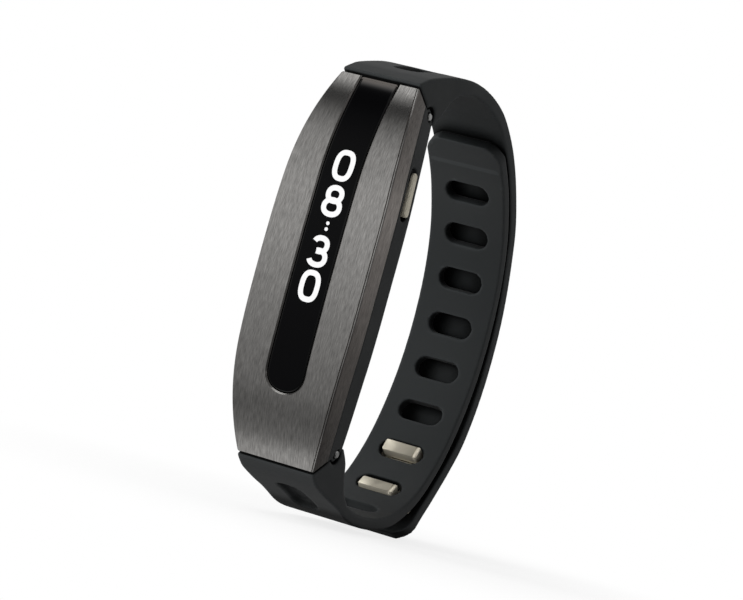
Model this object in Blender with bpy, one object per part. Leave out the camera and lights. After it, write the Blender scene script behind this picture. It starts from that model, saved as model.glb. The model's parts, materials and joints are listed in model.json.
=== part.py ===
"""Wrist activity tracker: a curved metal-faced module on a two-piece slotted strap, clasp closed."""

import math

import bmesh
import bpy
from mathutils import Vector

MM = 0.001

# Module: concentric layers behind one front curve, nearly flat in the middle and bent towards the
# wrist at both ends. Depth d is measured from the front surface towards the wrist.
FRONT_Y = 0.58
MID_R = 380.0
END_R = 35.0
MID_HALF = 12.0  # height at which the middle arc hands over to an end arc
HALF_WIDTH_END = 6.3
HALF_WIDTH_MID = 8.82
METAL_DEPTH = 3.8
MODULE_DEPTH = 8.1
WALL = 1.6
CAVITY_HALF = 22.2  # half the hollow's length along the front curve
END_OVER = 1.0  # how far the module's layers run on before the seam cuts them
PAD_Y = 8.9  # charger pad face; the part's origin is its centre

# Window and display.
WINDOW_HALF = 3.28
WINDOW_LOW = -18.5  # length along the front curve from its middle to the window's lower end
DISPLAY_Z = 5.6
BATTERY_Z = -15.4
MOTOR_Z = -4.3

# Spring bars: axis points in the side view, and turned sizes.
BAR_Y = 10.5
BAR_Z = 24.7
BAR_TUBE_R = 1.0
BAR_TIP_R = 0.55
EAR_INNER_X = 5.4
EAR_NOSE_R = 1.25
SEAM_GAP = 0.25
SEAM_POINT = (5.04, 28.0)  # the seam between module and strap, where it meets the front
SEAM_ANGLE = math.radians(29.75)  # and its lean from the module's depth

# Side button.
BUTTON_Z = 13.1
BUTTON_DEPTH = 5.6
BUTTON_LENGTH = 6.4
BUTTON_WIDTH = 1.2
BUTTON_PROUD = 0.4

# Straps, side view, all in millimetres.
STRAP_HALF = 6.25
STRAP_THICK = 1.8
TIP_RADIUS = 3.1  # rounding of both free ends in plan
TONGUE_HALF = 5.25
LUG_R = 2.1
SLOT_HALF = 3.63
SLOT_WIDTH = 3.2
SLOT_PITCH = 7.03
FLEX_Z = -16.6  # where the upper strap's free end bends away from the lower strap

UPPER_OUTER = [
    (5.3, 28.42), (6.9, 29.15), (8.9, 29.9), (13.8, 31.0), (17.5, 31.6), (22.0, 31.9),
    (26.5, 31.55), (31.0, 30.5), (35.0, 28.8), (39.5, 25.6), (43.0, 22.1), (46.1, 18.0),
    (48.5, 14.0), (50.1, 9.7), (51.5, 4.8), (52.4, 0.0), (52.75, -5.0), (52.6, -10.0),
    (51.9, -15.0), (50.5, -20.0), (48.3, -24.1), (46.9, -26.3), (45.1, -29.0), (43.3, -31.5),
    (42.0, -33.6), (41.2, -35.3),
]
LOWER_INNER = [
    (18.3, -31.55), (22.0, -32.5), (26.6, -32.8), (31.0, -32.4), (35.2, -31.05), (39.8, -27.75),
    (43.7, -22.3), (46.3, -16.0), (47.8, -9.2), (48.1, -2.1), (47.3, 4.8), (45.2, 11.4),
    (41.7, 17.3), (38.6, 20.9), (35.2, 24.0),
]
LOWER_OUTER_START = [(5.3, -28.3), (6.5, -29.1), (8.0, -29.9), (11.6, -31.1), (15.2, -32.15)]
SLOT_CENTRES_FROM_END = 9.4
UPPER_HEEL = [(21.6, 29.95), (18.4, 29.2), (15.9, 27.6), (14.4, 25.6), (12.35, 23.6)]
LOWER_HEEL = [(18.3, -31.55), (16.3, -29.9), (15.1, -27.8), (14.2, -25.6), (12.35, -23.6)]

# A long shallow pocket in each strap's outer face, from one side-view point to the other.
POCKETS = {1: ((11.0, 30.45), (19.9, 31.85)), -1: ((10.3, -30.7), (18.9, -33.2))}
POCKET_HALF = 2.15
POCKET_DEPTH = 1.25
POCKET_TAPER = 0.45  # share of its depth a pocket loses towards the strap

# Clasp: a plate on the upper strap's inner face and two pegs through the lower strap's slots.
PLATE_HALF = 5.1
PLATE_THICK = 0.8
PEG_HALF = (3.0, 0.95)
PEG_SHANK = (2.25, 0.62)
PEG_PROUD = 0.42
PEG_SLOTS = ((6, -0.35), (7, 0.3))  # slot number from the free end, and how far down it stands


def clear_scene():
    for obj in list(bpy.data.objects):
        bpy.data.objects.remove(obj, do_unlink=True)


def material(name, color, metallic, roughness):
    mat = bpy.data.materials.new(name)
    mat.use_nodes = True
    mat.diffuse_color = (*color, 1.0)
    bsdf = mat.node_tree.nodes["Principled BSDF"]
    bsdf.inputs["Base Color"].default_value = (*color, 1.0)
    bsdf.inputs["Metallic"].default_value = metallic
    bsdf.inputs["Roughness"].default_value = roughness
    return mat


MID_ANGLE = math.asin(MID_HALF / MID_R)
MID_ARC = MID_R * MID_ANGLE
BEND_Y = FRONT_Y + MID_R - (MID_R - END_R) * math.cos(MID_ANGLE)  # centres of the end arcs
BEND_Z = (MID_R - END_R) * math.sin(MID_ANGLE)


def arc_point(angle, depth):
    """Side-view point where the front curve leans by this angle, this deep behind it."""
    if abs(angle) <= MID_ANGLE:
        r = MID_R - depth
        return FRONT_Y + MID_R - r * math.cos(angle), r * math.sin(angle)
    r = END_R - depth
    return BEND_Y - r * math.cos(angle), math.copysign(BEND_Z, angle) + r * math.sin(angle)


def angle_of(z, depth=0.0):
    """The angle at which the layer at this depth reaches this height."""
    if abs(z) <= (MID_R - depth) * math.sin(MID_ANGLE):
        return math.asin(z / (MID_R - depth))
    return math.asin(math.copysign(abs(z) - BEND_Z, z) / (END_R - depth))


def angle_at(along):
    """The angle at this length along the front curve, from its middle."""
    if abs(along) <= MID_ARC:
        return along / MID_R
    return math.copysign(MID_ANGLE + (abs(along) - MID_ARC) / END_R, along)


def seam_angle():
    """The angle at which the front curve runs into the seam."""
    sine, cosine = math.sin(SEAM_ANGLE), math.cos(SEAM_ANGLE)
    line = sine * (SEAM_POINT[0] - BEND_Y) + cosine * (SEAM_POINT[1] - BEND_Z)
    return SEAM_ANGLE + math.asin(line / END_R)


END_ANGLE = seam_angle()
HALF_ARC = MID_ARC + END_R * (END_ANGLE - MID_ANGLE)


def half_width(angle):
    """Half the module's width at this angle: barrel plan, widest in the middle."""
    t = abs(arc_point(angle, 0.0)[1] / arc_point(END_ANGLE, 0.0)[1])
    return HALF_WIDTH_END + (HALF_WIDTH_MID - HALF_WIDTH_END) * (1.0 - t**3)


def spaced(start, end, count):
    return [start + (end - start) * i / (count - 1) for i in range(count)]


def spline(points, per_span):
    """Catmull-Rom curve through the points."""
    padded = [points[0]] + list(points) + [points[-1]]
    out = []
    for i in range(1, len(padded) - 2):
        p0, p1, p2, p3 = padded[i - 1 : i + 3]
        for k in range(per_span):
            t = k / per_span
            out.append(
                tuple(
                    0.5
                    * (
                        2 * b
                        + (c - a) * t
                        + (2 * a - 5 * b + 4 * c - d) * t**2
                        + (3 * b - a - 3 * c + d) * t**3
                    )
                    for a, b, c, d in zip(p0, p1, p2, p3)
                )
            )
    out.append(tuple(points[-1]))
    return out


def even(points, step):
    """The same polyline with its points spread evenly, about this far apart."""
    lengths = [0.0]
    for a, b in zip(points, points[1:]):
        lengths.append(lengths[-1] + math.dist(a, b))
    count = max(2, round(lengths[-1] / step) + 1)
    out = []
    k = 0
    for target in spaced(0.0, lengths[-1], count):
        while k < len(points) - 2 and lengths[k + 1] < target:
            k += 1
        t = (target - lengths[k]) / (lengths[k + 1] - lengths[k])
        out.append(tuple(a + (b - a) * t for a, b in zip(points[k], points[k + 1])))
    return out


def offset(points, distance):
    """The polyline moved to the right of its direction of travel by this distance."""
    out = []
    for i in range(len(points)):
        a = points[max(i - 1, 0)]
        b = points[min(i + 1, len(points) - 1)]
        length = math.dist(a, b)
        ny, nz = (b[1] - a[1]) / length, -(b[0] - a[0]) / length
        out.append((points[i][0] + ny * distance, points[i][1] + nz * distance))
    return out


def finish(mesh, name, mats, origin, sharp=32):
    """Object from a bmesh in millimetres: faces out, origin at the given point, part frame applied."""
    bmesh.ops.recalc_face_normals(mesh, faces=mesh.faces)
    data = bpy.data.meshes.new(name)
    base = Vector(origin)
    for vert in mesh.verts:
        vert.co = (vert.co - base) * MM
    mesh.to_mesh(data)
    mesh.free()
    data.materials.append(mats)
    obj = bpy.data.objects.new(name, data)
    obj.location = (base - Vector((0.0, PAD_Y, 0.0))) * MM
    bpy.context.collection.objects.link(obj)
    shade(obj, sharp)
    return obj


def shade(obj, sharp):
    obj.data.polygons.foreach_set("use_smooth", [True] * len(obj.data.polygons))
    obj.data.set_sharp_from_angle(angle=math.radians(sharp))


def loft(name, rings, mat, origin=(0, 0, 0), sharp=32):
    """Closed body through rings of 3-D points, with flat ends."""
    mesh = bmesh.new()
    rows = [[mesh.verts.new(p) for p in ring] for ring in rings]
    for low, high in zip(rows, rows[1:]):
        for i in range(len(low)):
            j = (i + 1) % len(low)
            mesh.faces.new((low[i], low[j], high[j], high[i]))
    mesh.faces.new(rows[0])
    mesh.faces.new(rows[-1])
    return finish(mesh, name, mat, origin, sharp)


def prism(name, polygon, x0, x1, mat, origin=(0, 0, 0), edge=0.0, sharp=32):
    """Side-view polygon run across the part from x0 to x1, its two outlines chamfered by edge."""
    mesh = bmesh.new()
    near = [mesh.verts.new((x0, y, z)) for y, z in polygon]
    far = [mesh.verts.new((x1, y, z)) for y, z in polygon]
    rims = []
    for ring in (near, far):
        rims += mesh.faces.new(ring).edges
    for i in range(len(near)):
        j = (i + 1) % len(near)
        mesh.faces.new((near[i], near[j], far[j], far[i]))
    bmesh.ops.recalc_face_normals(mesh, faces=mesh.faces)
    if edge:
        bmesh.ops.bevel(mesh, geom=rims, offset=edge, segments=2, affect="EDGES", profile=0.5)
    return finish(mesh, name, mat, origin, sharp)


def revolve(name, profile, centre, mat, closed, sides=24, axis="x"):
    """Profile of (along, radius) points turned about the x or y axis through the centre."""
    mesh = bmesh.new()
    rows = []
    for along, radius in profile:
        row = []
        for k in range(sides):
            a = 2 * math.pi * (k + 0.5) / sides
            u, v = radius * math.cos(a), radius * math.sin(a)
            row.append(mesh.verts.new((along, u, v) if axis == "x" else (u, along, v)))
        rows.append(row)
    spans = list(zip(rows, rows[1:]))
    if closed:
        spans.append((rows[-1], rows[0]))
    for low, high in spans:
        for i in range(sides):
            j = (i + 1) % sides
            mesh.faces.new((low[i], low[j], high[j], high[i]))
    if not closed:
        mesh.faces.new(rows[0])
        mesh.faces.new(rows[-1])
    for vert in mesh.verts:
        vert.co += Vector(centre)
    return finish(mesh, name, mat, centre)


def tangent_box(name, z, depth, half_x, half_s, mat, x=0.0, radius=0.6, shift=0.0):
    """Rounded flat block parallel to the front at height z, between two depths, shifted along it."""
    angle = angle_of(z)
    out = (-math.cos(angle), math.sin(angle))
    along = (math.sin(angle), math.cos(angle))
    front = arc_point(angle, 0.0)
    base = (front[0] + along[0] * shift, front[1] + along[1] * shift)
    rings = []
    for d in depth:
        ring = []
        for u, s in rounded_rectangle(half_x, half_s, radius):
            y = base[0] - out[0] * d + along[0] * s
            zz = base[1] - out[1] * d + along[1] * s
            ring.append((x + u, y, zz))
        rings.append(ring)
    centre = [sum(p[k] for ring in rings for p in ring) / (2 * len(rings[0])) for k in range(3)]
    return loft(name, rings, mat, centre)


def rounded_rectangle(half_u, half_v, radius, steps=3):
    corners = [(1, 1, 0), (-1, 1, 90), (-1, -1, 180), (1, -1, 270)]
    out = []
    for su, sv, start in corners:
        for k in range(steps + 1):
            a = math.radians(start + 90 * k / steps)
            u = su * (half_u - radius) + radius * math.cos(a)
            v = sv * (half_v - radius) + radius * math.sin(a)
            out.append((u, v))
    return out


def boolean(obj, cutters, operation="DIFFERENCE", sharp=32):
    """Applies one exact Boolean per cutter and removes the cutters."""
    for cutter in cutters:
        modifier = obj.modifiers.new("cut", "BOOLEAN")
        modifier.operation = operation
        modifier.solver = "EXACT"
        modifier.object = cutter
    bpy.context.view_layer.update()
    graph = bpy.context.evaluated_depsgraph_get()
    made = bpy.data.meshes.new_from_object(obj.evaluated_get(graph))
    mats = list(obj.data.materials)
    obj.modifiers.clear()
    obj.data = made
    made.materials.clear()
    for mat in mats:
        made.materials.append(mat)
    made.polygons.foreach_set("material_index", [0] * len(made.polygons))
    for cutter in cutters:
        bpy.data.objects.remove(cutter, do_unlink=True)
    shade(obj, sharp)
    return obj


def seam_z(y, gap):
    """Height of the seam line at this y, this far clear of the module."""
    return SEAM_POINT[1] + gap / math.cos(SEAM_ANGLE) - (y - SEAM_POINT[0]) * math.tan(SEAM_ANGLE)


def seam_side(gap):
    """Side-view outline of the module's upper half from front to back, grown by the gap."""
    nose = EAR_NOSE_R + gap
    points = [(y, seam_z(y, gap)) for y in (-4.0, SEAM_POINT[0])]
    for k in range(9):
        a = math.radians(138 - 168 * k / 8)
        points.append((BAR_Y + nose * math.cos(a), BAR_Z + nose * math.sin(a)))
    points.append((14.0 + gap, 22.6 + gap))
    points.append((16.0, 22.6 + gap))
    return points


def module_outline(gap):
    top = seam_side(gap)
    return top + [(y, -z) for y, z in reversed(top)]


def ring_at(angle, section):
    ring = []
    for x, depth in section:
        y, z = arc_point(angle, depth)
        ring.append((x, y, z))
    return ring


def make_faceplate(mat):
    rings = []
    for along in spaced(-HALF_ARC - END_OVER, HALF_ARC + END_OVER, 33):
        angle = angle_at(along)
        w = half_width(angle)
        t, c = 0.8, 0.22
        section = [
            (-w, METAL_DEPTH), (-w, c), (-w + c, 0.0), (w - c, 0.0), (w, c), (w, METAL_DEPTH),
            (w - t, METAL_DEPTH), (w - t, t), (-w + t, t), (-w + t, METAL_DEPTH),
        ]
        rings.append(ring_at(angle, section))
    plate = loft("faceplate", rings, mat)
    window = window_strip("window", 0.0, [(-1.0, 0.0), (1.6, 0.0)], mat, HALF_ARC + 1.5)
    boolean(plate, [window])
    side = prism("side", module_outline(0.0), -12, 12, mat)
    return boolean(plate, [side], "INTERSECT", 25)


def window_strip(name, shrink, layers, mat, top):
    """Strip along the window: each layer is (depth, extra half width); the lower end is round."""
    half = WINDOW_HALF - shrink
    low = WINDOW_LOW + shrink
    stations = [low + half * (1 - math.cos(math.radians(a))) for a in (0.01, 15, 30, 45, 60, 75)]
    stations += spaced(low + half, top, 20)
    rings = []
    for along in stations:
        t = min(1.0, (along - low) / half)
        b = half * max(0.08, (1 - (1 - t) ** 2.2) ** (1 / 2.2))
        left = [(-b - extra, depth) for depth, extra in layers]
        right = [(b + extra, depth) for depth, extra in reversed(layers)]
        rings.append(ring_at(angle_at(along), left + right))
    return loft(name, rings, mat)


def make_lens(mat):
    layers = [(0.1, 0.0), (0.88, 0.0), (0.88, 0.7), (1.4, 0.7)]
    lens = window_strip("display_lens", 0.07, layers, mat, HALF_ARC - 0.6)
    side = prism("side", module_outline(-0.1), -12, 12, mat)
    return boolean(lens, [side], "INTERSECT")


def make_housing(mat):
    rings = []
    for along in spaced(-HALF_ARC - END_OVER, HALF_ARC + END_OVER, 33):
        angle = angle_at(along)
        w = half_width(angle)
        d0, d1, c = METAL_DEPTH + 0.08, MODULE_DEPTH, 0.6
        ring = [(-w, d0), (w, d0), (w, d1 - c), (w - c, d1), (-w + c, d1), (-w, d1 - c)]
        rings.append(ring_at(angle, ring))
    body = loft("housing", rings, mat)
    side = prism("side", module_outline(0.0), -12, 12, mat)
    boolean(body, [side], "INTERSECT")
    cavity = []
    for along in spaced(-CAVITY_HALF, CAVITY_HALF, 17):
        angle = angle_at(along)
        w = half_width(angle) - WALL
        cavity.append(ring_at(angle, [(-w, 3.4), (w, 3.4), (w, 6.3), (-w, 6.3)]))
    cuts = [loft("cavity", cavity, mat)]
    for sign in (1, -1):
        cuts.append(tongue_pocket(sign, mat))
        cuts.append(bar_hole(sign, BAR_TIP_R + 0.07, 12, mat))
        for side in (1, -1):
            cuts.append(ring_recess(side, sign, mat))
    cuts.append(pad_block("seat", 5.95, 10.55, 2.1, (7.7, 12.0), mat))
    cuts.append(pad_block("opening", 4.2, 8.8, 1.4, (5.5, 12.0), mat))
    cuts += screw_cutters(mat, 5.0, 9.0, 0.45)
    cuts.append(button_block("recess", 3.85, 0.98, (7.75, 12.0), mat))
    cuts.append(button_block("stem_hole", 1.35, 0.48, (5.0, 12.0), mat))
    return boolean(body, cuts, "DIFFERENCE", 25)


def tongue_pocket(sign, mat):
    """Room between the ears for a strap's tongue, around the spring bar."""
    r = LUG_R + 0.15
    points = []
    for k in range(13):
        a = math.radians(170 + 140 * k / 12)
        points.append((BAR_Y + r * math.cos(a), sign * (BAR_Z + r * math.sin(a))))
    points += [(18.0, sign * 20.6), (18.0, sign * 34.0), (BAR_Y - r, sign * 34.0)]
    return prism("pocket", points, -EAR_INNER_X, EAR_INNER_X, mat)


def bar_hole(sign, radius, reach, mat):
    profile = [(-reach, radius), (reach, radius)]
    return revolve("hole", profile, (0, BAR_Y, sign * BAR_Z), mat, False)


def ring_recess(side, sign, mat):
    profile = [(side * 6.1, 0.9), (side * 9.0, 0.9)]
    return revolve("recess", profile, (0, BAR_Y, sign * BAR_Z), mat, False)


def pad_block(name, half_x, half_z, radius, span, mat):
    rings = []
    for y in span:
        rings.append([(u, y, v) for u, v in rounded_rectangle(half_x, half_z, radius, 4)])
    return loft(name, rings, mat, (0, span[0], 0))


def screw_points():
    return [(x, z) for x in (-4.65, 4.65) for z in (-9.2, 9.2)]


def screw_cutters(mat, y0, y1, radius):
    cuts = []
    for x, z in screw_points():
        profile = [(y0, radius), (y1, radius)]
        cuts.append(revolve("screw_hole", profile, (x, 0, z), mat, False, 16, "y"))
    return cuts


def button_block(name, half_s, half_t, span, mat, proud=None):
    """Block along the button's line; with proud set, its outer face follows the module's side."""
    radius = min(half_t, half_s) * 0.999
    rings = []
    steps = [0.0, 0.12, 0.35, 0.65, 1.0]
    ends = [half_s - radius + radius * math.sin(t * math.pi / 2) for t in steps]
    for s in sorted([-e for e in ends] + ends):
        over = max(0.0, abs(s) - (half_s - radius)) / radius
        t = half_t * max(0.1, math.sqrt(max(0.0, 1 - over * over)))
        here = angle_of(BUTTON_Z + s, BUTTON_DEPTH)
        outer = span[1] if proud is None else half_width(here) + proud
        section = [(span[0], BUTTON_DEPTH - t), (outer, BUTTON_DEPTH - t)]
        section += [(outer, BUTTON_DEPTH + t), (span[0], BUTTON_DEPTH + t)]
        rings.append(ring_at(here, section))
    y, z = arc_point(angle_of(BUTTON_Z, BUTTON_DEPTH), BUTTON_DEPTH)
    return loft(name, rings, mat, (span[0], y, z))


def make_button(mat):
    half_s, half_t = BUTTON_LENGTH / 2, BUTTON_WIDTH / 2
    cap = button_block("side_button", half_s, half_t, (8.2, 9.0), mat, BUTTON_PROUD)
    stem = button_block("stem", 1.2, 0.4, (6.3, 8.3), mat)
    flange = button_block("flange", 1.6, 0.7, (6.3, 6.6), mat)
    return boolean(cap, [stem, flange], "UNION")


def make_back_cover(mats):
    cover = pad_block("back_cover", 5.85, 10.45, 2.0, (7.98, PAD_Y), mats["black_plastic"])
    cuts = screw_cutters(mats["black_plastic"], 5.0, 12.0, 0.45)
    for x, z in screw_points():
        profile = [(PAD_Y - 0.48, 0.72), (12.0, 0.72)]
        cuts.append(revolve("head", profile, (x, 0, z), mats["steel"], False, 16, "y"))
    for z in (-2.6, 2.6):
        profile = [(5.0, 1.3), (12.0, 1.3)]
        cuts.append(revolve("contact", profile, (0, 0, z), mats["steel"], False, 24, "y"))
    boolean(cover, cuts)
    gasket = pad_block("cover_gasket", 5.75, 10.35, 1.9, (7.74, 7.94), mats["seal_rubber"])
    cuts = screw_cutters(mats["black_plastic"], 5.0, 12.0, 0.5)
    cuts.append(pad_block("inside", 4.25, 8.85, 1.4, (6.0, 12.0), mats["black_plastic"]))
    boolean(gasket, cuts)
    for k, (x, z) in enumerate(screw_points()):
        top = PAD_Y - 0.06
        profile = [(6.75, 0.4), (top - 0.4, 0.4), (top - 0.4, 0.66), (top, 0.66)]
        revolve(f"cover_screw_{k + 1}", profile, (x, 0, z), mats["steel"], False, 16, "y")
    for name, z in (("charge_contact_upper", 2.6), ("charge_contact_lower", -2.6)):
        profile = [(7.5, 0.5), (8.0, 0.5), (8.0, 1.22), (PAD_Y - 0.05, 1.22)]
        revolve(name, profile, (0, 0, z), mats["gold"], False, 24, "y")


def make_electronics(mats):
    tangent_box("oled_panel", DISPLAY_Z, (2.9, 4.15), 5.75, 13.2, mats["display_glass"])
    tangent_box("display_flex", DISPLAY_Z, (4.2, 4.4), 3.2, 12.4, mats["flex_orange"])
    tangent_box("main_board", DISPLAY_Z, (4.45, 5.05), 5.6, 13.6, mats["board_green"])
    chips = [
        ("processor", "chip_black", -2.2, 3.0, 1.8, 2.2, 0.83),
        ("motion_sensor", "chip_black", -2.6, -4.0, 1.2, 1.2, 0.68),
        ("memory_chip", "chip_black", 1.8, -3.3, 1.3, 1.6, 0.63),
        ("button_switch", "steel", 4.6, 7.2, 1.1, 1.7, 0.98),
        ("antenna", "ceramic", -0.6, 11.6, 3.6, 0.9, 0.63),
    ]
    for name, slot, x, shift, half_x, half_s, height in chips:
        span = (5.12, 5.12 + height)
        tangent_box(name, DISPLAY_Z, span, half_x, half_s, mats[slot], x, 0.1, shift)
    tangent_box("battery", BATTERY_Z, (2.2, 6.05), 5.1, 5.0, mats["battery_silver"], 0.0, 0.9)
    y, z = arc_point(angle_of(MOTOR_Z), 0.0)
    profile = [(y + 5.15, 1.9), (y + 6.1, 1.9)]
    revolve("vibration_motor", profile, (1.8, 0, z), mats["steel"], False, 24, "y")


def make_bars(mats):
    for name, sign in (("upper", 1), ("lower", -1)):
        centre = (0, BAR_Y, sign * BAR_Z)
        tube = [(-4.9, 0.62), (-4.9, BAR_TUBE_R), (4.9, BAR_TUBE_R), (4.9, 0.62)]
        tube += [(4.4, 0.62), (4.4, 0.78), (-4.4, 0.78), (-4.4, 0.62)]
        revolve(f"{name}_bar_tube", tube, centre, mats["steel"], True)
        for side, k in (("right", 1), ("left", -1)):
            tip = [(3.9, 0.7), (4.3, 0.7), (4.3, BAR_TIP_R), (6.35, BAR_TIP_R), (6.5, 0.42)]
            tip = [(k * x, r) for x, r in tip]
            revolve(f"{name}_bar_tip_{side}", tip, centre, mats["steel"], False)
        coil(f"{name}_bar_spring", centre, mats["steel"])


def coil(name, centre, mat):
    """Round-wire spring between the two tips of one bar."""
    turns, wire, radius, half = 9, 0.13, 0.5, 3.7
    rings = []
    for k in range(turns * 10 + 1):
        a = 2 * math.pi * k / 10
        x = -half + 2 * half * k / (turns * 10)
        ring = []
        for j in range(5):
            b = 2 * math.pi * j / 5
            r = radius + wire * math.cos(b)
            px, py, pz = x + wire * math.sin(b), r * math.cos(a), r * math.sin(a)
            ring.append((centre[0] + px, centre[1] + py, centre[2] + pz))
        rings.append(ring)
    return loft(name, rings, mat, centre, 60)


def lug_arc(sign, start, end):
    points = []
    for k in range(13):
        a = math.radians(start + (end - start) * k / 12)
        points.append((BAR_Y + LUG_R * math.cos(a), sign * (BAR_Z + LUG_R * math.sin(a))))
    return points


def strap_cutters(sign, mat):
    """Ears, spring bar and the lens-shaped pocket, taken out of a strap's module end."""
    cuts = []
    outline = module_outline(SEAM_GAP)
    for side in (1, -1):
        x0, x1 = sorted((side * TONGUE_HALF, side * 12.0))
        cuts.append(prism("ears", outline, x0, x1, mat))
    cuts.append(bar_hole(sign, BAR_TUBE_R + 0.08, 12, mat))
    cuts.append(outer_pocket(sign, mat))
    back = BAR_Y - LUG_R + 0.05
    front = [(-4.0, 20.0), (-4.0, seam_z(-4.0, SEAM_GAP)), (back, seam_z(back, SEAM_GAP)), (back, 20.0)]
    cuts.append(prism("front", [(y, sign * z) for y, z in front], -12, 12, mat))
    return cuts


def outer_pocket(sign, mat):
    start, end = POCKETS[sign]
    length = math.dist(start, end)
    along = ((end[0] - start[0]) / length, (end[1] - start[1]) / length)
    inward = (along[1] * sign, -along[0] * sign)
    centre = ((start[0] + end[0]) / 2, (start[1] + end[1]) / 2)
    rings = []
    for t, inset in ((POCKET_DEPTH, 0.3), (-1.5, -0.3)):
        ring = []
        for u, v in rounded_rectangle(POCKET_HALF - inset, length / 2 - inset, 1.7 - inset, 4):
            deep = t * (1 - POCKET_TAPER * (v / length + 0.5))
            y = centre[0] + along[0] * v + inward[0] * deep
            ring.append((u, y, centre[1] + along[1] * v + inward[1] * deep))
        rings.append(ring)
    return loft("pocket", rings, mat)


def tip_cutters(curve, half, radius, mat):
    """Two corner blocks that round a strap's free end in plan; curve runs towards the end."""
    cuts = []
    end = curve[-1]
    back = max(i for i, p in enumerate(curve) if math.dist(p, end) >= radius * 1.02)
    for side in (1, -1):
        rings = []
        for i in range(back, len(curve)):
            along = max(0.0, radius - math.dist(curve[i], end)) / radius
            inset = radius * (1 - math.sqrt(max(0.0, 1 - along * along)))
            a = curve[max(i - 1, 0)]
            b = curve[min(i + 1, len(curve) - 1)]
            length = math.dist(a, b)
            ny, nz = (b[1] - a[1]) / length, -(b[0] - a[0]) / length
            x0, x1 = side * (half - inset - 0.001), side * (half + 2.0)
            y, z = curve[i]
            if i == len(curve) - 1:
                y += (b[0] - a[0]) / length * 0.5
                z += (b[1] - a[1]) / length * 0.5
            section = [(x0, -4), (x1, -4), (x1, 4), (x0, 4)]
            rings.append([(x, y + ny * t, z + nz * t) for x, t in section])
        cuts.append(loft("corner", rings, mat))
    return cuts


def slot_cutter(point, normal, half_x, width, reach, mat, name="slot"):
    """Stadium-shaped cutter through the strap at a point, along its normal."""
    along = (normal[1], -normal[0])
    r = width / 2
    rings = []
    for t in reach:
        ring = []
        for u, v in rounded_rectangle(half_x, r, r * 0.98, 5):
            y = point[0] + normal[0] * t + along[0] * v
            z = point[1] + normal[1] * t + along[1] * v
            ring.append((u, y, z))
        rings.append(ring)
    return loft(name, rings, mat)


def frame_at(curve, distance):
    """Point and unit normal (to the right of travel) at this distance from the curve's end."""
    run = 0.0
    for b, a in zip(reversed(curve), reversed(curve[:-1])):
        step = math.dist(a, b)
        if run + step >= distance:
            t = (distance - run) / step
            point = (b[0] + (a[0] - b[0]) * t, b[1] + (a[1] - b[1]) * t)
            return point, ((b[1] - a[1]) / step, -(b[0] - a[0]) / step)
        run += step
    return curve[0], (1.0, 0.0)


def make_lower_strap(mats):
    rubber = mats["strap_rubber"]
    inner = even(spline(LOWER_INNER, 8), 1.4)
    outer = offset(inner, STRAP_THICK)
    start = even(spline(LOWER_OUTER_START + [outer[1]], 6), 1.4)
    polygon = start[:-1] + outer[1:] + list(reversed(inner[1:])) + spline(LOWER_HEEL, 4)
    polygon += list(reversed(lug_arc(-1, 180, 300))) + [(7.9, -25.8), (5.3, -27.6)]
    centre = (0, BAR_Y, -BAR_Z)
    strap = prism("lower_strap", polygon, -STRAP_HALF, STRAP_HALF, rubber, centre, 0.3, 30)
    cuts = strap_cutters(-1, rubber)
    cuts += tip_cutters(even(offset(inner, 0.9), 0.7), STRAP_HALF, TIP_RADIUS, rubber)
    for k in range(9):
        point, normal = frame_at(inner, SLOT_CENTRES_FROM_END + SLOT_PITCH * k)
        cuts.append(slot_cutter(point, normal, SLOT_HALF, SLOT_WIDTH, (-1.5, 3.5), rubber))
    return boolean(strap, cuts, "DIFFERENCE", 30)


def peg_frames():
    """Where the two pegs stand on the lower strap's inner surface, and the way out of the slot."""
    inner = even(spline(LOWER_INNER, 8), 1.4)
    frames = []
    for slot, shift in PEG_SLOTS:
        frames.append(frame_at(inner, SLOT_CENTRES_FROM_END + SLOT_PITCH * slot + shift))
    return frames


def reach(point, normal, curve):
    """Distance from the point along the normal to where it meets the curve."""
    for a, b in zip(curve, curve[1:]):
        ey, ez = b[0] - a[0], b[1] - a[1]
        det = normal[0] * -ez + normal[1] * ey
        if abs(det) < 1e-9:
            continue
        dy, dz = a[0] - point[0], a[1] - point[1]
        t = (dy * -ez + dz * ey) / det
        u = (normal[0] * dz - normal[1] * dy) / det
        if 0.0 <= u <= 1.0 and t > 0.0:
            return t
    return 0.0


def make_clasp(mats):
    """Curved plate under the upper strap's end, and a peg through plate and strap at each frame."""
    outer, inner = upper_curves()
    frames = peg_frames()
    near = even(offset(outer, STRAP_THICK + 0.05), 0.9)
    far = offset(near, PLATE_THICK)
    first, last = frames[0][0], frames[1][0]
    keep = [i for i, p in enumerate(near) if p[0] > 30 and first[1] + 4.2 > p[1] > last[1] - 3.4]
    a, b = keep[0], keep[-1] + 1
    polygon = near[a:b] + list(reversed(far[a:b]))
    middle = near[(a + b) // 2]
    centre = (0, middle[0], middle[1])
    metal = mats["champagne"]
    plate = prism("clasp_plate", polygon, -PLATE_HALF, PLATE_HALF, metal, centre, 0.15, 30)
    cuts = []
    for point, normal in frames:
        cuts.append(slot_cutter(point, normal, 2.6, 1.5, (1.0, 9.0), metal))
    boolean(plate, cuts, "DIFFERENCE", 30)
    for name, (point, normal) in zip(("clasp_peg_upper", "clasp_peg_lower"), frames):
        base = reach(point, normal, far) - 0.45
        top = reach(point, normal, outer) - 0.15
        full, shank = PEG_HALF, PEG_SHANK
        stations = [(-PEG_PROUD, full[0] - 0.13, full[1] - 0.13), (-PEG_PROUD + 0.13, *full)]
        stations += [(base, *full), (base, *shank), (top, *shank)]
        along = (normal[1], -normal[0])
        rings = []
        for t, half_u, half_v in stations:
            ring = []
            for u, v in rounded_rectangle(half_u, half_v, 0.3, 3):
                y = point[0] + normal[0] * t + along[0] * v
                z = point[1] + normal[1] * t + along[1] * v
                ring.append((u, y, z))
            rings.append(ring)
        loft(name, rings, metal, (0, point[0], point[1]))


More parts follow.
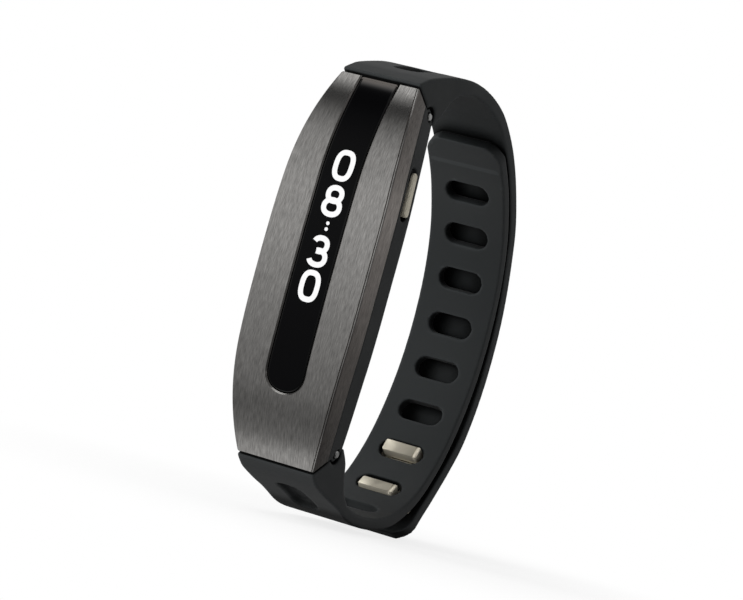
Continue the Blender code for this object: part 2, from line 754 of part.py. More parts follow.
def upper_curves():
    outer = even(spline(UPPER_OUTER, 8), 1.4)
    inner = offset(outer, STRAP_THICK)
    return outer, inner


def make_upper_strap(mats):
    rubber = mats["strap_rubber"]
    outer, inner = upper_curves()
    cut = min(i for i, p in enumerate(outer) if p[1] < FLEX_Z and p[0] > 40)
    first = min(i for i, p in enumerate(inner) if p[0] > 23.0)
    polygon = outer[:cut] + list(reversed(inner[first:cut])) + spline(UPPER_HEEL, 4)
    polygon += list(reversed(lug_arc(1, 180, 300))) + [(7.9, 25.8), (5.3, 27.6)]
    centre = (0, BAR_Y, BAR_Z)
    root = prism("upper_strap", polygon, -STRAP_HALF, STRAP_HALF, rubber, centre, 0.3, 30)
    boolean(root, strap_cutters(1, rubber), "DIFFERENCE", 30)
    a, b = outer[cut - 1], outer[cut]
    gap = 0.12 / math.dist(a, b)
    lead_out = (a[0] + (b[0] - a[0]) * gap, a[1] + (b[1] - a[1]) * gap)
    c, d = inner[cut - 1], inner[cut]
    lead_in = (c[0] + (d[0] - c[0]) * gap, c[1] + (d[1] - c[1]) * gap)
    polygon = [lead_out] + outer[cut:] + list(reversed(inner[cut:])) + [lead_in]
    hinge = (0, (a[0] + lead_out[0]) / 2, (a[1] + lead_out[1]) / 2)
    tip = prism("upper_strap_end", polygon, -STRAP_HALF, STRAP_HALF, rubber, hinge, 0.3, 30)
    middle = even(offset(outer, 0.9), 0.7)
    cuts = tip_cutters(middle, STRAP_HALF, TIP_RADIUS, rubber)
    for point, normal in peg_frames():
        cuts.append(slot_cutter(point, normal, 2.6, 1.5, (1.0, 9.0), rubber))
    boolean(tip, cuts, "DIFFERENCE", 30)


def main():
    clear_scene()
    mats = {
        "gunmetal": material("gunmetal", (0.16, 0.155, 0.15), 1.0, 0.38),
        "lens_black": material("lens_black", (0.01, 0.01, 0.011), 0.0, 0.06),
        "black_plastic": material("black_plastic", (0.022, 0.023, 0.025), 0.0, 0.5),
        "strap_rubber": material("strap_rubber", (0.026, 0.028, 0.03), 0.0, 0.62),
        "seal_rubber": material("seal_rubber", (0.05, 0.05, 0.055), 0.0, 0.8),
        "champagne": material("champagne", (0.62, 0.56, 0.47), 1.0, 0.3),
        "steel": material("steel", (0.6, 0.6, 0.6), 1.0, 0.28),
        "gold": material("gold", (0.78, 0.58, 0.25), 1.0, 0.25),
        "display_glass": material("display_glass", (0.01, 0.012, 0.02), 0.0, 0.1),
        "board_green": material("board_green", (0.02, 0.12, 0.05), 0.0, 0.5),
        "chip_black": material("chip_black", (0.015, 0.015, 0.016), 0.0, 0.45),
        "ceramic": material("ceramic", (0.75, 0.74, 0.7), 0.0, 0.4),
        "flex_orange": material("flex_orange", (0.55, 0.22, 0.03), 0.0, 0.4),
        "battery_silver": material("battery_silver", (0.5, 0.51, 0.53), 0.6, 0.4),
    }
    make_faceplate(mats["gunmetal"])
    make_lens(mats["lens_black"])
    make_housing(mats["black_plastic"])
    make_back_cover(mats)
    make_electronics(mats)
    make_button(mats["champagne"])
    make_bars(mats)
    make_lower_strap(mats)
    make_upper_strap(mats)
    make_clasp(mats)


main()
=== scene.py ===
"""Looks for the wrist activity tracker: moulded rubber straps, brushed metal face, glass and studio."""

import json
import math

import bmesh
import bpy
from mathutils import Matrix, Vector

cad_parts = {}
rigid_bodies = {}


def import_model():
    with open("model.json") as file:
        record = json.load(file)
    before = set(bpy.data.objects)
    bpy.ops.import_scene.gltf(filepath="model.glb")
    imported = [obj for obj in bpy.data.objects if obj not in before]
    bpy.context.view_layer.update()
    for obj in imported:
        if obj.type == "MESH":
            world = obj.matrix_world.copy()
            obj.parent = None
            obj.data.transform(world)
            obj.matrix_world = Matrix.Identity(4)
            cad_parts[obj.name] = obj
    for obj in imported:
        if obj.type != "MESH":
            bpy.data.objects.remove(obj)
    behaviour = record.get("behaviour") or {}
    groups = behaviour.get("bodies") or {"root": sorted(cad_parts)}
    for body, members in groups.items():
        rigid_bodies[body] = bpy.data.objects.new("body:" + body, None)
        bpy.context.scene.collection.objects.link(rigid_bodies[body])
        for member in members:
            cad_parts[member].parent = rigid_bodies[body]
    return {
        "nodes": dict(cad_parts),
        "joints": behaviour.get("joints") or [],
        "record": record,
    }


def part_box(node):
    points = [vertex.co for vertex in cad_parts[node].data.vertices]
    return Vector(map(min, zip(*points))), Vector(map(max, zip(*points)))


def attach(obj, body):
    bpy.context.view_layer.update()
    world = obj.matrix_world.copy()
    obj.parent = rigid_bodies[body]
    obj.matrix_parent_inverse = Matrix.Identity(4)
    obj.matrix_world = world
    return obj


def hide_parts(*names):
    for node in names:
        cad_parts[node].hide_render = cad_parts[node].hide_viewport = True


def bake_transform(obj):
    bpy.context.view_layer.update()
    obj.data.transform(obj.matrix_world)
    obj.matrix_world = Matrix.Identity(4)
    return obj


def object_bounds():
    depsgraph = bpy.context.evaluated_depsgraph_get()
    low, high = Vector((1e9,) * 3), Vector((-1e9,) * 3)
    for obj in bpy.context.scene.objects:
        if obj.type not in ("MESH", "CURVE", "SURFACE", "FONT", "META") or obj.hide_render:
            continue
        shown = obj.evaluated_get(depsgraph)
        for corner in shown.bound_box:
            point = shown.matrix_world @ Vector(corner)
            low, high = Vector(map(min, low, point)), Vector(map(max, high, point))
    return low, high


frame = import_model()
cad_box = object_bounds()

MM = 0.001

# Module, in millimetres in the side view: y runs towards the wrist, z up. The front curve is one
# nearly flat middle arc between two end arcs, and depth is measured from it towards the wrist.
FRONT_Y = 0.58
FRAME_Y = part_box("faceplate")[0].y / MM - FRONT_Y  # what the side view's y needs to be the frame's
MID_R = 380.0
END_R = 35.0
MID_HALF = 12.0
HALF_WIDTH_END = 6.3
HALF_WIDTH_MID = 8.82
METAL_DEPTH = 3.8
MODULE_DEPTH = 8.1
METAL_WALL = 0.8
GROOVE_INSETS = (0.42, 0.24)
GROOVE_DEPTH = 0.2
RIM_ROUND = 0.2
SHELL_ROUND = 0.6
SEAM_POINT = (5.04, 28.0)
SEAM_ANGLE = math.radians(29.75)
MID_ANGLE = math.asin(MID_HALF / MID_R)
MID_ARC = MID_R * MID_ANGLE
BEND_Y = FRONT_Y + MID_R - (MID_R - END_R) * math.cos(MID_ANGLE)
BEND_Z = (MID_R - END_R) * math.sin(MID_ANGLE)
END_OVER = 1.0  # how far cutters and blanks run past the module's ends and surfaces
CAVITY_HALF = 22.2
CAVITY_WALL = 1.6
CAVITY_DEPTHS = (3.4, 6.3)

WINDOW_HALF = 3.28
WINDOW_LOW = -18.5
WINDOW_CHAMFER = 0.2
WINDOW_DEPTH = 1.6
WINDOW_ROUNDNESS = 2.2  # power of the superellipse at the window's lower end
WINDOW_END_STEPS = 24
WINDOW_SIDE_STEPS = 89
GLASS_GAP = 0.05
GLASS_ROUND = 0.4
GLASS_TOP = 0.1
GLASS_BACK = 1.35

# Back cover with its charging pad.
PAD_Y = 8.9
COVER_HALF = (5.85, 10.45)
COVER_RADIUS = 2.0
COVER_DEPTH = 0.92
COVER_ROUND = 0.22
COVER_SEAT = (5.95, 10.55, 2.1)
COVER_OPENING = (4.2, 8.8, 1.4)
SCREW_AT = (4.65, 9.2)
SCREW_RADII = (0.45, 0.72)
SCREW_DEPTH = 0.48
CONTACT_Z = 2.6
CONTACT_RADIUS = 1.3

# Spring bars, in round ears at the module's ends.
BAR_Y = 10.5
BAR_Z = 24.7
BAR_TUBE_R = 1.0
BAR_TIP_R = 0.55
EAR_INNER_X = 5.4
EAR_NOSE_R = 1.25
EAR_RECESS = (6.1, 0.9)
SEAM_GAP = 0.25
EAR_HEEL = (14.0, 22.6)  # where an ear ends inside the loop
FAR = 12.0  # beyond the part's sides and back, where cutters end

BUTTON_Z = 13.1
BUTTON_DEPTH = 5.6
BUTTON_HALF = (3.2, 0.6)
BUTTON_PROUD = 0.4
BUTTON_ROUND = 0.18
BUTTON_FOOT = 8.2
BUTTON_RECESS = (3.85, 0.98)
BUTTON_RECESS_FOOT = 7.75

# Straps.
STRAP_HALF = 6.33
STRAP_THICK = 1.8
STRAP_EDGE = 0.18
OUTER_SWELL = 0.15  # makes up for what relaxing the moulding takes off its outer face
TIP_RADIUS = 3.1
TONGUE_HALF = 5.25
LUG_R = 2.1
SLOT_HALF = 3.63
SLOT_WIDTH = 3.2
SLOT_PITCH = 7.03
FIRST_SLOT = 9.4
SLOT_COUNT = 9
CURVE_STEP = 0.45
VOXEL = 0.2  # remesh size of the moulded pieces
RELAX_ROUNDS = 3
FLEX_ALONG = (0.0, -0.27, -0.963)  # the clasp strap's direction at its flex line
FLEX_REACH = 3.0  # how far the two flex points lie to either side of that line

UPPER_OUTER = [
    (5.3, 28.42), (6.9, 29.15), (8.9, 29.9), (13.8, 31.0), (17.5, 31.6), (22.0, 31.9),
    (26.5, 31.55), (31.0, 30.5), (35.0, 28.8), (39.5, 25.6), (43.0, 22.1), (46.1, 18.0),
    (48.5, 14.0), (50.1, 9.7), (51.5, 4.8), (52.4, 0.0), (52.75, -5.0), (52.6, -10.0),
    (51.9, -15.0), (50.5, -20.0), (48.3, -24.1), (46.9, -26.3), (45.1, -29.0), (43.3, -31.5),
    (42.0, -33.6), (41.1, -35.5),
]
LOWER_INNER = [
    (18.3, -31.55), (22.0, -32.5), (26.6, -32.8), (31.0, -32.4), (35.2, -31.05), (39.8, -27.75),
    (43.7, -22.3), (46.3, -16.0), (47.8, -9.2), (48.1, -2.1), (47.3, 4.8), (45.2, 11.4),
    (41.7, 17.3), (38.6, 20.9), (35.2, 24.0),
]
LOWER_OUTER_START = [(5.3, -28.35), (6.4, -29.2), (7.9, -30.02), (11.5, -31.22), (15.1, -32.25)]
SEAM_LAND = [(7.9, 25.8), (5.3, 27.6)]
UPPER_HEEL = [(21.6, 29.95), (18.4, 29.2), (15.9, 27.6), (14.4, 25.6), (12.35, 23.6)]
LOWER_HEEL = [(18.3, -31.55), (16.3, -29.9), (15.1, -27.8), (14.2, -25.6), (12.35, -23.6)]

POCKETS = {1: ((11.0, 30.45), (19.9, 31.85)), -1: ((10.3, -30.7), (18.9, -33.2))}
POCKET_HALF = 2.15
POCKET_RADIUS = 1.7
POCKET_DRAFT = 0.3
POCKET_DEPTH = 1.25
POCKET_TAPER = 0.45  # share of its depth a pocket loses towards the strap

PEG_HALF = (3.0, 0.95)
PEG_PROUD = 0.42
PEG_FOOT = 1.5
PEG_CHAMFER = 0.14
PEG_RADIUS = 0.3
PEG_GROOVE = (2.18, 2.34)
PEG_SLOTS = ((6, -0.35), (7, 0.3))  # each peg's slot, and how far along the strap it sits off centre

ARC_STEPS = 8
SHARP_ANGLE = 30


# ---------------------------------------------------------------- curves


def spaced(start, end, count):
    """Evenly spaced numbers, ends included."""
    return [start + (end - start) * i / (count - 1) for i in range(count)]


def spline(points, per_span):
    """Catmull-Rom curve through the points."""
    padded = [points[0]] + list(points) + [points[-1]]
    out = []
    for i in range(1, len(padded) - 2):
        p0, p1, p2, p3 = (Vector(p) for p in padded[i - 1 : i + 3])
        for k in range(per_span):
            t = k / per_span
            bend = 2 * p0 - 5 * p1 + 4 * p2 - p3
            twist = 3 * p1 - p0 - 3 * p2 + p3
            out.append(tuple(0.5 * (2 * p1 + (p2 - p0) * t + bend * t**2 + twist * t**3)))
    out.append(tuple(points[-1]))
    return out


def even(points, step=CURVE_STEP):
    """The same polyline with its points spread evenly, about this far apart."""
    lengths = [0.0]
    for a, b in zip(points, points[1:]):
        lengths.append(lengths[-1] + math.dist(a, b))
    count = max(2, round(lengths[-1] / step) + 1)
    out = []
    k = 0
    for target in spaced(0.0, lengths[-1], count):
        while k < len(points) - 2 and lengths[k + 1] < target:
            k += 1
        t = (target - lengths[k]) / (lengths[k + 1] - lengths[k])
        out.append(tuple(a + (b - a) * t for a, b in zip(points[k], points[k + 1])))
    return out


def offset(points, distance):
    """The polyline moved to the right of its direction of travel by this distance."""
    out = []
    for i in range(len(points)):
        a = points[max(i - 1, 0)]
        b = points[min(i + 1, len(points) - 1)]
        length = math.dist(a, b)
        ny, nz = (b[1] - a[1]) / length, -(b[0] - a[0]) / length
        out.append((points[i][0] + ny * distance, points[i][1] + nz * distance))
    return out


def frame_at(curve, distance):
    """Point and unit normal, to the right of travel, at this distance from the curve's end."""
    run = 0.0
    for b, a in zip(reversed(curve), reversed(curve[:-1])):
        step = math.dist(a, b)
        if run + step >= distance:
            t = (distance - run) / step
            point = (b[0] + (a[0] - b[0]) * t, b[1] + (a[1] - b[1]) * t)
            return point, ((b[1] - a[1]) / step, -(b[0] - a[0]) / step)
        run += step
    return curve[0], (1.0, 0.0)


def arc(centre, radius, start, end, steps, sign=1):
    """Side-view arc between two angles in degrees; the sign mirrors it to the other end."""
    out = []
    for k in range(steps + 1):
        a = math.radians(start + (end - start) * k / steps)
        out.append((centre[0] + radius * math.cos(a), sign * (centre[1] + radius * math.sin(a))))
    return out


def mirrored(points):
    """The same side-view points at the module's other end."""
    return [(y, -z) for y, z in points]


def rounded_rectangle(half_u, half_v, radius, steps=ARC_STEPS):
    out = []
    for su, sv, start in ((1, 1, 0), (-1, 1, 90), (-1, -1, 180), (1, -1, 270)):
        for k in range(steps + 1):
            a = math.radians(start + 90 * k / steps)
            u = su * (half_u - radius) + radius * math.cos(a)
            out.append((u, sv * (half_v - radius) + radius * math.sin(a)))
    return out


def arc_point(angle, depth):
    """Side-view point where the front curve leans by this angle, this deep behind it."""
    if abs(angle) <= MID_ANGLE:
        r = MID_R - depth
        return FRONT_Y + MID_R - r * math.cos(angle), r * math.sin(angle)
    r = END_R - depth
    return BEND_Y - r * math.cos(angle), math.copysign(BEND_Z, angle) + r * math.sin(angle)


def angle_of(z, depth=0.0):
    """The angle at which the layer at this depth reaches this height."""
    if abs(z) <= (MID_R - depth) * math.sin(MID_ANGLE):
        return math.asin(z / (MID_R - depth))
    return math.asin(math.copysign(abs(z) - BEND_Z, z) / (END_R - depth))


def angle_at(along):
    """The angle at this length along the front curve, from its middle."""
    if abs(along) <= MID_ARC:
        return along / MID_R
    return math.copysign(MID_ANGLE + (abs(along) - MID_ARC) / END_R, along)


def end_angle(depth):
    """The angle at which the layer at this depth runs into the seam."""
    sine, cosine = math.sin(SEAM_ANGLE), math.cos(SEAM_ANGLE)
    line = sine * (SEAM_POINT[0] - BEND_Y) + cosine * (SEAM_POINT[1] - BEND_Z)
    return SEAM_ANGLE + math.asin(line / (END_R - depth))


END_ANGLE = end_angle(0.0)
HALF_ARC = MID_ARC + END_R * (END_ANGLE - MID_ANGLE)
END_Z = arc_point(END_ANGLE, 0.0)[1]


def half_width(angle):
    """Half the module's width at this angle: barrel plan, widest in the middle."""
    t = abs(arc_point(angle, 0.0)[1] / END_Z)
    return HALF_WIDTH_END + (HALF_WIDTH_MID - HALF_WIDTH_END) * (1.0 - t**3)


# ---------------------------------------------------------------- meshes


def finish(mesh, name):
    """Object at the frame's origin from a bmesh in millimetres in the side view."""
    bmesh.ops.recalc_face_normals(mesh, faces=mesh.faces)
    for vert in mesh.verts:
        x, y, z = vert.co
        vert.co = (x * MM, (y + FRAME_Y) * MM, z * MM)
    data = bpy.data.meshes.new(name)
    mesh.to_mesh(data)
    mesh.free()
    obj = bpy.data.objects.new(name, data)
    bpy.context.collection.objects.link(obj)
    shade(obj, SHARP_ANGLE)
    return obj


def shade(obj, sharp):
    """Smooth shading, with edges that turn by more than this many degrees kept sharp."""
    obj.data.polygons.foreach_set("use_smooth", [True] * len(obj.data.polygons))
    obj.data.set_sharp_from_angle(angle=math.radians(sharp))


def loft(name, rings):
    """Closed body through rings of 3-D points, with flat ends."""
    mesh = bmesh.new()
    rows = [[mesh.verts.new(p) for p in ring] for ring in rings]
    for low, high in zip(rows, rows[1:]):
        for i in range(len(low)):
            j = (i + 1) % len(low)
            mesh.faces.new((low[i], low[j], high[j], high[i]))
    mesh.faces.new(rows[0])
    mesh.faces.new(rows[-1])
    return finish(mesh, name)


def prism(name, polygon, x0, x1, edge=0.0):
    """Side-view polygon run across the part from x0 to x1, its two outlines rounded by edge."""
    mesh = bmesh.new()
    near = [mesh.verts.new((x0, y, z)) for y, z in polygon]
    far = [mesh.verts.new((x1, y, z)) for y, z in polygon]
    rims = []
    for ring in (near, far):
        rims += mesh.faces.new(ring).edges
    for i in range(len(near)):
        j = (i + 1) % len(near)
        mesh.faces.new((near[i], near[j], far[j], far[i]))
    bmesh.ops.recalc_face_normals(mesh, faces=mesh.faces)
    if edge:
        bmesh.ops.bevel(mesh, geom=rims, offset=edge, segments=3, affect="EDGES", profile=0.5)
    return finish(mesh, name)


def revolve(name, profile, centre, sides=32, axis="x"):
    """Profile of (along, radius) points turned about the x or y axis through the centre."""
    cx, cy, cz = centre
    rings = []
    for along, radius in profile:
        ring = []
        for k in range(sides):
            a = 2 * math.pi * (k + 0.5) / sides
            u, v = radius * math.cos(a), radius * math.sin(a)
            if axis == "x":
                ring.append((cx + along, cy + u, cz + v))
            else:
                ring.append((cx + u, cy + along, cz + v))
        rings.append(ring)
    return loft(name, rings)


def boolean(obj, cutters, operation="DIFFERENCE"):
    """Applies one exact Boolean per cutter and removes the cutters."""
    for cutter in cutters:
        modifier = obj.modifiers.new("cut", "BOOLEAN")
        modifier.operation = operation
        modifier.solver = "EXACT"
        modifier.object = cutter
    bake(obj)
    for cutter in cutters:
        bpy.data.objects.remove(cutter, do_unlink=True)
    return obj


def bake(obj):
    """Turns the object's modifiers into its mesh."""
    bpy.context.view_layer.update()
    graph = bpy.context.evaluated_depsgraph_get()
    made = bpy.data.meshes.new_from_object(obj.evaluated_get(graph))
    obj.modifiers.clear()
    obj.data = made
    return obj


def mould(obj):
    """Remeshes a hard-edged body evenly and relaxes it, as a moulded part with small soft edges."""
    obj.data.transform(Matrix.Scale(1 / MM, 4))
    modifier = obj.modifiers.new("remesh", "REMESH")
    modifier.mode = "VOXEL"
    modifier.voxel_size = VOXEL
    modifier.adaptivity = 0.0
    relax = obj.modifiers.new("relax", "SMOOTH")
    relax.factor = 0.5
    relax.iterations = RELAX_ROUNDS
    bake(obj)
    obj.data.transform(Matrix.Scale(MM, 4))
    shade(obj, 180)
    return obj


def strip(name, half_outline, layers, place):
    """Solid symmetric about x = 0: each layer is the outline drawn in by an inset, at a depth."""
    count = len(half_outline)
    (x0, a0), (x1, a1) = half_outline[1], half_outline[-2]
    padded = [(-x0, a0), *half_outline, (-x1, a1)]
    normals = []
    for before, after in zip(padded, padded[2:]):
        tangent = Vector((after[0] - before[0], after[1] - before[1])).normalized()
        normals.append((-tangent.y, tangent.x))
    mesh = bmesh.new()
    rows = []
    for inset, depth in layers:
        right = []
        left = []
        for i, ((x, a), (nx, na)) in enumerate(zip(half_outline, normals)):
            px, pa = x + nx * inset, a + na * inset
            on_axis = i in (0, count - 1)
            vert = mesh.verts.new(place(0.0 if on_axis else px, pa, depth))
            right.append(vert)
            left.append(vert if on_axis else mesh.verts.new(place(-px, pa, depth)))
        rows.append((right, left))
    for (right0, left0), (right1, left1) in zip(rows, rows[1:]):
        for i in range(count - 1):
            mesh.faces.new((right0[i], right0[i + 1], right1[i + 1], right1[i]))
            mesh.faces.new((left0[i], left1[i], left1[i + 1], left0[i + 1]))
    for right, left in (rows[0], rows[-1]):
        for i in range(count - 1):
            corners = [right[i], right[i + 1], left[i + 1], left[i]]
            mesh.faces.new(list(dict.fromkeys(corners)))
    return finish(mesh, name)


def corner(points, index, radius, steps=6):
    """Replaces a sharp corner of a 2-D polyline by an arc."""
    before, at, after = (Vector(p) for p in points[index - 1 : index + 2])
    u = (before - at).normalized()
    v = (after - at).normalized()
    start, end = at + u * radius, at + v * radius
    bend = []
    for t in spaced(0.0, 1.0, steps):
        bend.append(tuple((1 - t) ** 2 * start + 2 * t * (1 - t) * at + t * t * end))
    return points[:index] + bend + points[index + 1 :]


# ---------------------------------------------------------------- module


def on_face(x, along, depth):
    """Point at this length along the front curve, at this depth behind it."""
    angle = angle_at(along) * end_angle(depth) / END_ANGLE
    y, z = arc_point(angle, depth)
    return (x, y, z)


def rounding(radius, steps=4):
    """Layers (inset, depth) of a rounded front rim."""
    out = []
    for k in range(steps + 1):
        a = math.pi / 2 * k / steps
        out.append((radius * (1 - math.cos(a)), radius * (1 - math.sin(a))))
    return out


def make_metal_face():
    """Brushed face with folded sides, open behind and cut through for the window."""
    top = HALF_ARC
    edge = [(half_width(angle_at(a)), a) for a in spaced(-top, top, 121)]
    half = [(0.0, -top), (edge[0][0] * 0.5, -top)] + edge + [(edge[-1][0] * 0.5, top), (0.0, top)]
    for index in (len(half) - 3, 2):
        half = corner(half, index, 0.3)
    wall = [(METAL_WALL, METAL_WALL), (METAL_WALL, METAL_DEPTH), (0.0, METAL_DEPTH)]
    rim = rounding(RIM_ROUND)
    layers = wall + rim + [(rim[-1][0] + 0.08, 0.0)]
    face = strip("metal_face", half, layers, on_face)
    flare = WINDOW_CHAMFER
    opening = window_outline(flare, HALF_ARC + 3.0)
    depths = [(0.0, WINDOW_DEPTH), (0.0, flare), (-flare - END_OVER, -END_OVER)]
    boolean(face, [strip("opening", opening, depths, on_face), edge_groove()])
    shade(face, 24)
    return face


def edge_groove():
    """Fine line cut along the face's long edge on the button's side."""
    rings = []
    for along in spaced(-HALF_ARC - END_OVER, HALF_ARC + END_OVER, 97):
        angle = angle_at(along)
        x0, x1 = (half_width(angle) - inset for inset in GROOVE_INSETS)
        section = [(x0, -0.5), (x1, -0.5), (x1, GROOVE_DEPTH), (x0, GROOVE_DEPTH)]
        rings.append(ring_at(angle, section))
    return loft("groove", rings)


def ring_at(angle, section):
    """Section of (x, depth) points stood on the front curve at this angle."""
    return [(x, *arc_point(angle, depth)) for x, depth in section]


def window_outline(shrink, top):
    """Right half of the window's outline, from its round lower end up."""
    low = WINDOW_LOW + shrink
    half = WINDOW_HALF - shrink
    power = 2 / WINDOW_ROUNDNESS
    out = []
    for k in range(WINDOW_END_STEPS + 1):
        a = math.pi / 2 * k / WINDOW_END_STEPS
        out.append((half * math.sin(a) ** power, low + half * (1 - math.cos(a) ** power)))
    out += [(half, a) for a in spaced(low + half, top, WINDOW_SIDE_STEPS + 1)[1:]]
    out.append((0.0, top))
    return out


def make_glass():
    """Window glass just below the metal, with a softly rounded rim."""
    outline = window_outline(WINDOW_CHAMFER + GLASS_GAP, HALF_ARC - GLASS_TOP)
    outline = corner(outline, WINDOW_END_STEPS + WINDOW_SIDE_STEPS, 0.1, 3)
    rim = [(inset, depth + GLASS_TOP) for inset, depth in rounding(GLASS_ROUND, 8)]
    layers = [(0.0, GLASS_BACK)] + rim + [(rim[-1][0] + 0.06, GLASS_TOP)]
    return strip("window_glass", outline, layers, on_face)


def seam_z(y, gap):
    """Height of the seam line at this y, this far clear of the module."""
    return SEAM_POINT[1] + gap / math.cos(SEAM_ANGLE) - (y - SEAM_POINT[0]) * math.tan(SEAM_ANGLE)


def module_outline(gap):
    """Side-view outline of the module between its seams, grown by the gap."""
    top = [(y, seam_z(y, gap)) for y in (-4.0, SEAM_POINT[0])]
    top += arc((BAR_Y, BAR_Z), EAR_NOSE_R + gap, 138, -30, 16)
    top += [(y, EAR_HEEL[1] + gap) for y in (EAR_HEEL[0] + gap, 16.0)]
    return top + mirrored(reversed(top))


def make_shell():
    """Moulded body behind the metal face."""
    rings = []
    for along in spaced(-HALF_ARC - END_OVER, HALF_ARC + END_OVER, 97):
        angle = angle_at(along)
        w, d, c = half_width(angle), MODULE_DEPTH, SHELL_ROUND
        back = [(w, d - c), (w - 0.3 * c, d - 0.3 * c), (w - c, d)]
        other = [(-x, depth) for x, depth in reversed(back)]
        rings.append(ring_at(angle, [(-w, METAL_DEPTH), (w, METAL_DEPTH), *back, *other]))
    body = loft("body_shell", rings)
    boolean(body, [prism("side", module_outline(0.0), -FAR, FAR)], "INTERSECT")
    cuts = [inner_cavity()]
    for sign in (1, -1):
        cuts.append(tongue_pocket(sign))
        cuts.append(bar_hole(sign, BAR_TIP_R + 0.1))
        inner, radius = EAR_RECESS
        for side in (1, -1):
            profile = [(side * inner, radius), (side * 9.0, radius)]
            cuts.append(revolve("recess", profile, (0, BAR_Y, sign * BAR_Z)))
    cuts.append(pad_block("seat", *COVER_SEAT, (7.7, FAR)))
    cuts.append(pad_block("opening", *COVER_OPENING, (5.5, FAR)))
    cuts.append(button_block("recess", BUTTON_RECESS, BUTTON_RECESS_FOOT, [(0.0, 3.0)]))
    boolean(body, cuts)
    return mould(body)


def inner_cavity():
    """Room for the display, board and battery."""
    top, floor = CAVITY_DEPTHS
    rings = []
    for along in spaced(-CAVITY_HALF, CAVITY_HALF, 33):
        angle = angle_at(along)
        w = half_width(angle) - CAVITY_WALL
        rings.append(ring_at(angle, [(-w, top), (w, top), (w, floor), (-w, floor)]))
    return loft("cavity", rings)


def tongue_pocket(sign):
    """Room between the ears for a strap's round end."""
    r = LUG_R + 0.15
    points = arc((BAR_Y, BAR_Z), r, 170, 310, 20, sign)
    points += [(18.0, sign * 20.6), (18.0, sign * 34.0), (BAR_Y - r, sign * 34.0)]
    return prism("pocket", points, -EAR_INNER_X, EAR_INNER_X)


def bar_hole(sign, radius):
    return revolve("hole", [(-FAR, radius), (FAR, radius)], (0, BAR_Y, sign * BAR_Z))


def pad_block(name, half_x, half_z, radius, span):
    outline = rounded_rectangle(half_x, half_z, radius)
    return loft(name, [[(u, y, v) for u, v in outline] for y in span])


def button_block(name, half, foot, layers):
    """Capsule along the button's line, from a flat foot through layers that follow the side.

    Each layer is (inset of the outline, how far it stands out from the module's side).
    """
    rings = []
    for inset, proud in [(0.0, None)] + layers:
        ring = []
        half_s, half_t = half[0] - inset, half[1] - inset
        for s, t in rounded_rectangle(half_s, half_t, half_t * 0.98):
            here = angle_of(BUTTON_Z + s, BUTTON_DEPTH)
            x = foot if proud is None else half_width(here) + proud
            ring.append((x, *arc_point(here, BUTTON_DEPTH + t)))
        rings.append(ring)
    return loft(name, rings)


def make_button_cap():
    rim = rounding(BUTTON_ROUND, 5)
    layers = [(inset, BUTTON_PROUD - depth) for inset, depth in rim]
    return button_block("button_cap", BUTTON_HALF, BUTTON_FOOT, layers)


# ---------------------------------------------------------------- straps


def strap_point(origin, along, normal, u, v, t):
    """Point u across the band, v along a strap and t along its normal from an origin on it."""
    y = origin[0] + normal[0] * t + along[0] * v
    return (u, y, origin[1] + normal[1] * t + along[1] * v)


def lug_arc(sign):
    """Round end of a strap about its spring bar."""
    return arc((BAR_Y, BAR_Z), LUG_R, 300, 180, 24, sign)


def module_end_cuts(sign):
    """Ears, seam, spring bar and long pocket, taken out of a strap's module end."""
    outline = module_outline(SEAM_GAP)
    cuts = []
    for side in (1, -1):
        x0, x1 = sorted((side * TONGUE_HALF, side * FAR))
        cuts.append(prism("ears", outline, x0, x1))
    cuts.append(bar_hole(sign, BAR_TUBE_R + 0.06))
    cuts.append(outer_pocket(sign))
    front, back, low = -4.0, BAR_Y - LUG_R + 0.05, 20.0
    seam = [(y, seam_z(y, SEAM_GAP)) for y in (front, back)]
    points = [(front, low), *seam, (back, low)]
    cuts.append(prism("front", [(y, sign * z) for y, z in points], -FAR, FAR))
    return cuts


def outer_pocket(sign):
    """Long pocket sunk in the strap's outer face, shallower towards the strap."""
    start, end = POCKETS[sign]
    length = math.dist(start, end)
    along = ((end[0] - start[0]) / length, (end[1] - start[1]) / length)
    inward = (along[1] * sign, -along[0] * sign)
    centre = ((start[0] + end[0]) / 2, (start[1] + end[1]) / 2)
    rings = []
    for t, inset in ((POCKET_DEPTH, POCKET_DRAFT), (-1.5, -POCKET_DRAFT)):
        ring = []
        half_v, radius = length / 2 - inset, POCKET_RADIUS - inset
        for u, v in rounded_rectangle(POCKET_HALF - inset, half_v, radius):
            deep = t * (1 - POCKET_TAPER * (v / length + 0.5))
            ring.append(strap_point(centre, along, inward, u, v, deep))
        rings.append(ring)
    return loft("pocket", rings)


def tip_cuts(curve):
    """Two corner blocks that round a strap's free end in plan; the curve runs towards the end."""
    radius = TIP_RADIUS
    cuts = []
    end = curve[-1]
    back = max(i for i, p in enumerate(curve) if math.dist(p, end) >= radius * 1.02)
    for side in (1, -1):
        rings = []
        for i in range(back, len(curve)):
            along = max(0.0, radius - math.dist(curve[i], end)) / radius
            inset = radius * (1 - math.sqrt(max(0.0, 1 - along * along)))
            a = curve[max(i - 1, 0)]
            b = curve[min(i + 1, len(curve) - 1)]
            length = math.dist(a, b)
            ny, nz = (b[1] - a[1]) / length, -(b[0] - a[0]) / length
            x0, x1 = side * (STRAP_HALF - inset - 0.001), side * (STRAP_HALF + 2.0)
            y, z = curve[i]
            if i == len(curve) - 1:
                y += (b[0] - a[0]) / length * 0.5
                z += (b[1] - a[1]) / length * 0.5
            section = ((x0, -4), (x1, -4), (x1, 4), (x0, 4))
            rings.append([(x, y + ny * t, z + nz * t) for x, t in section])
        cuts.append(loft("corner", rings))
    return cuts


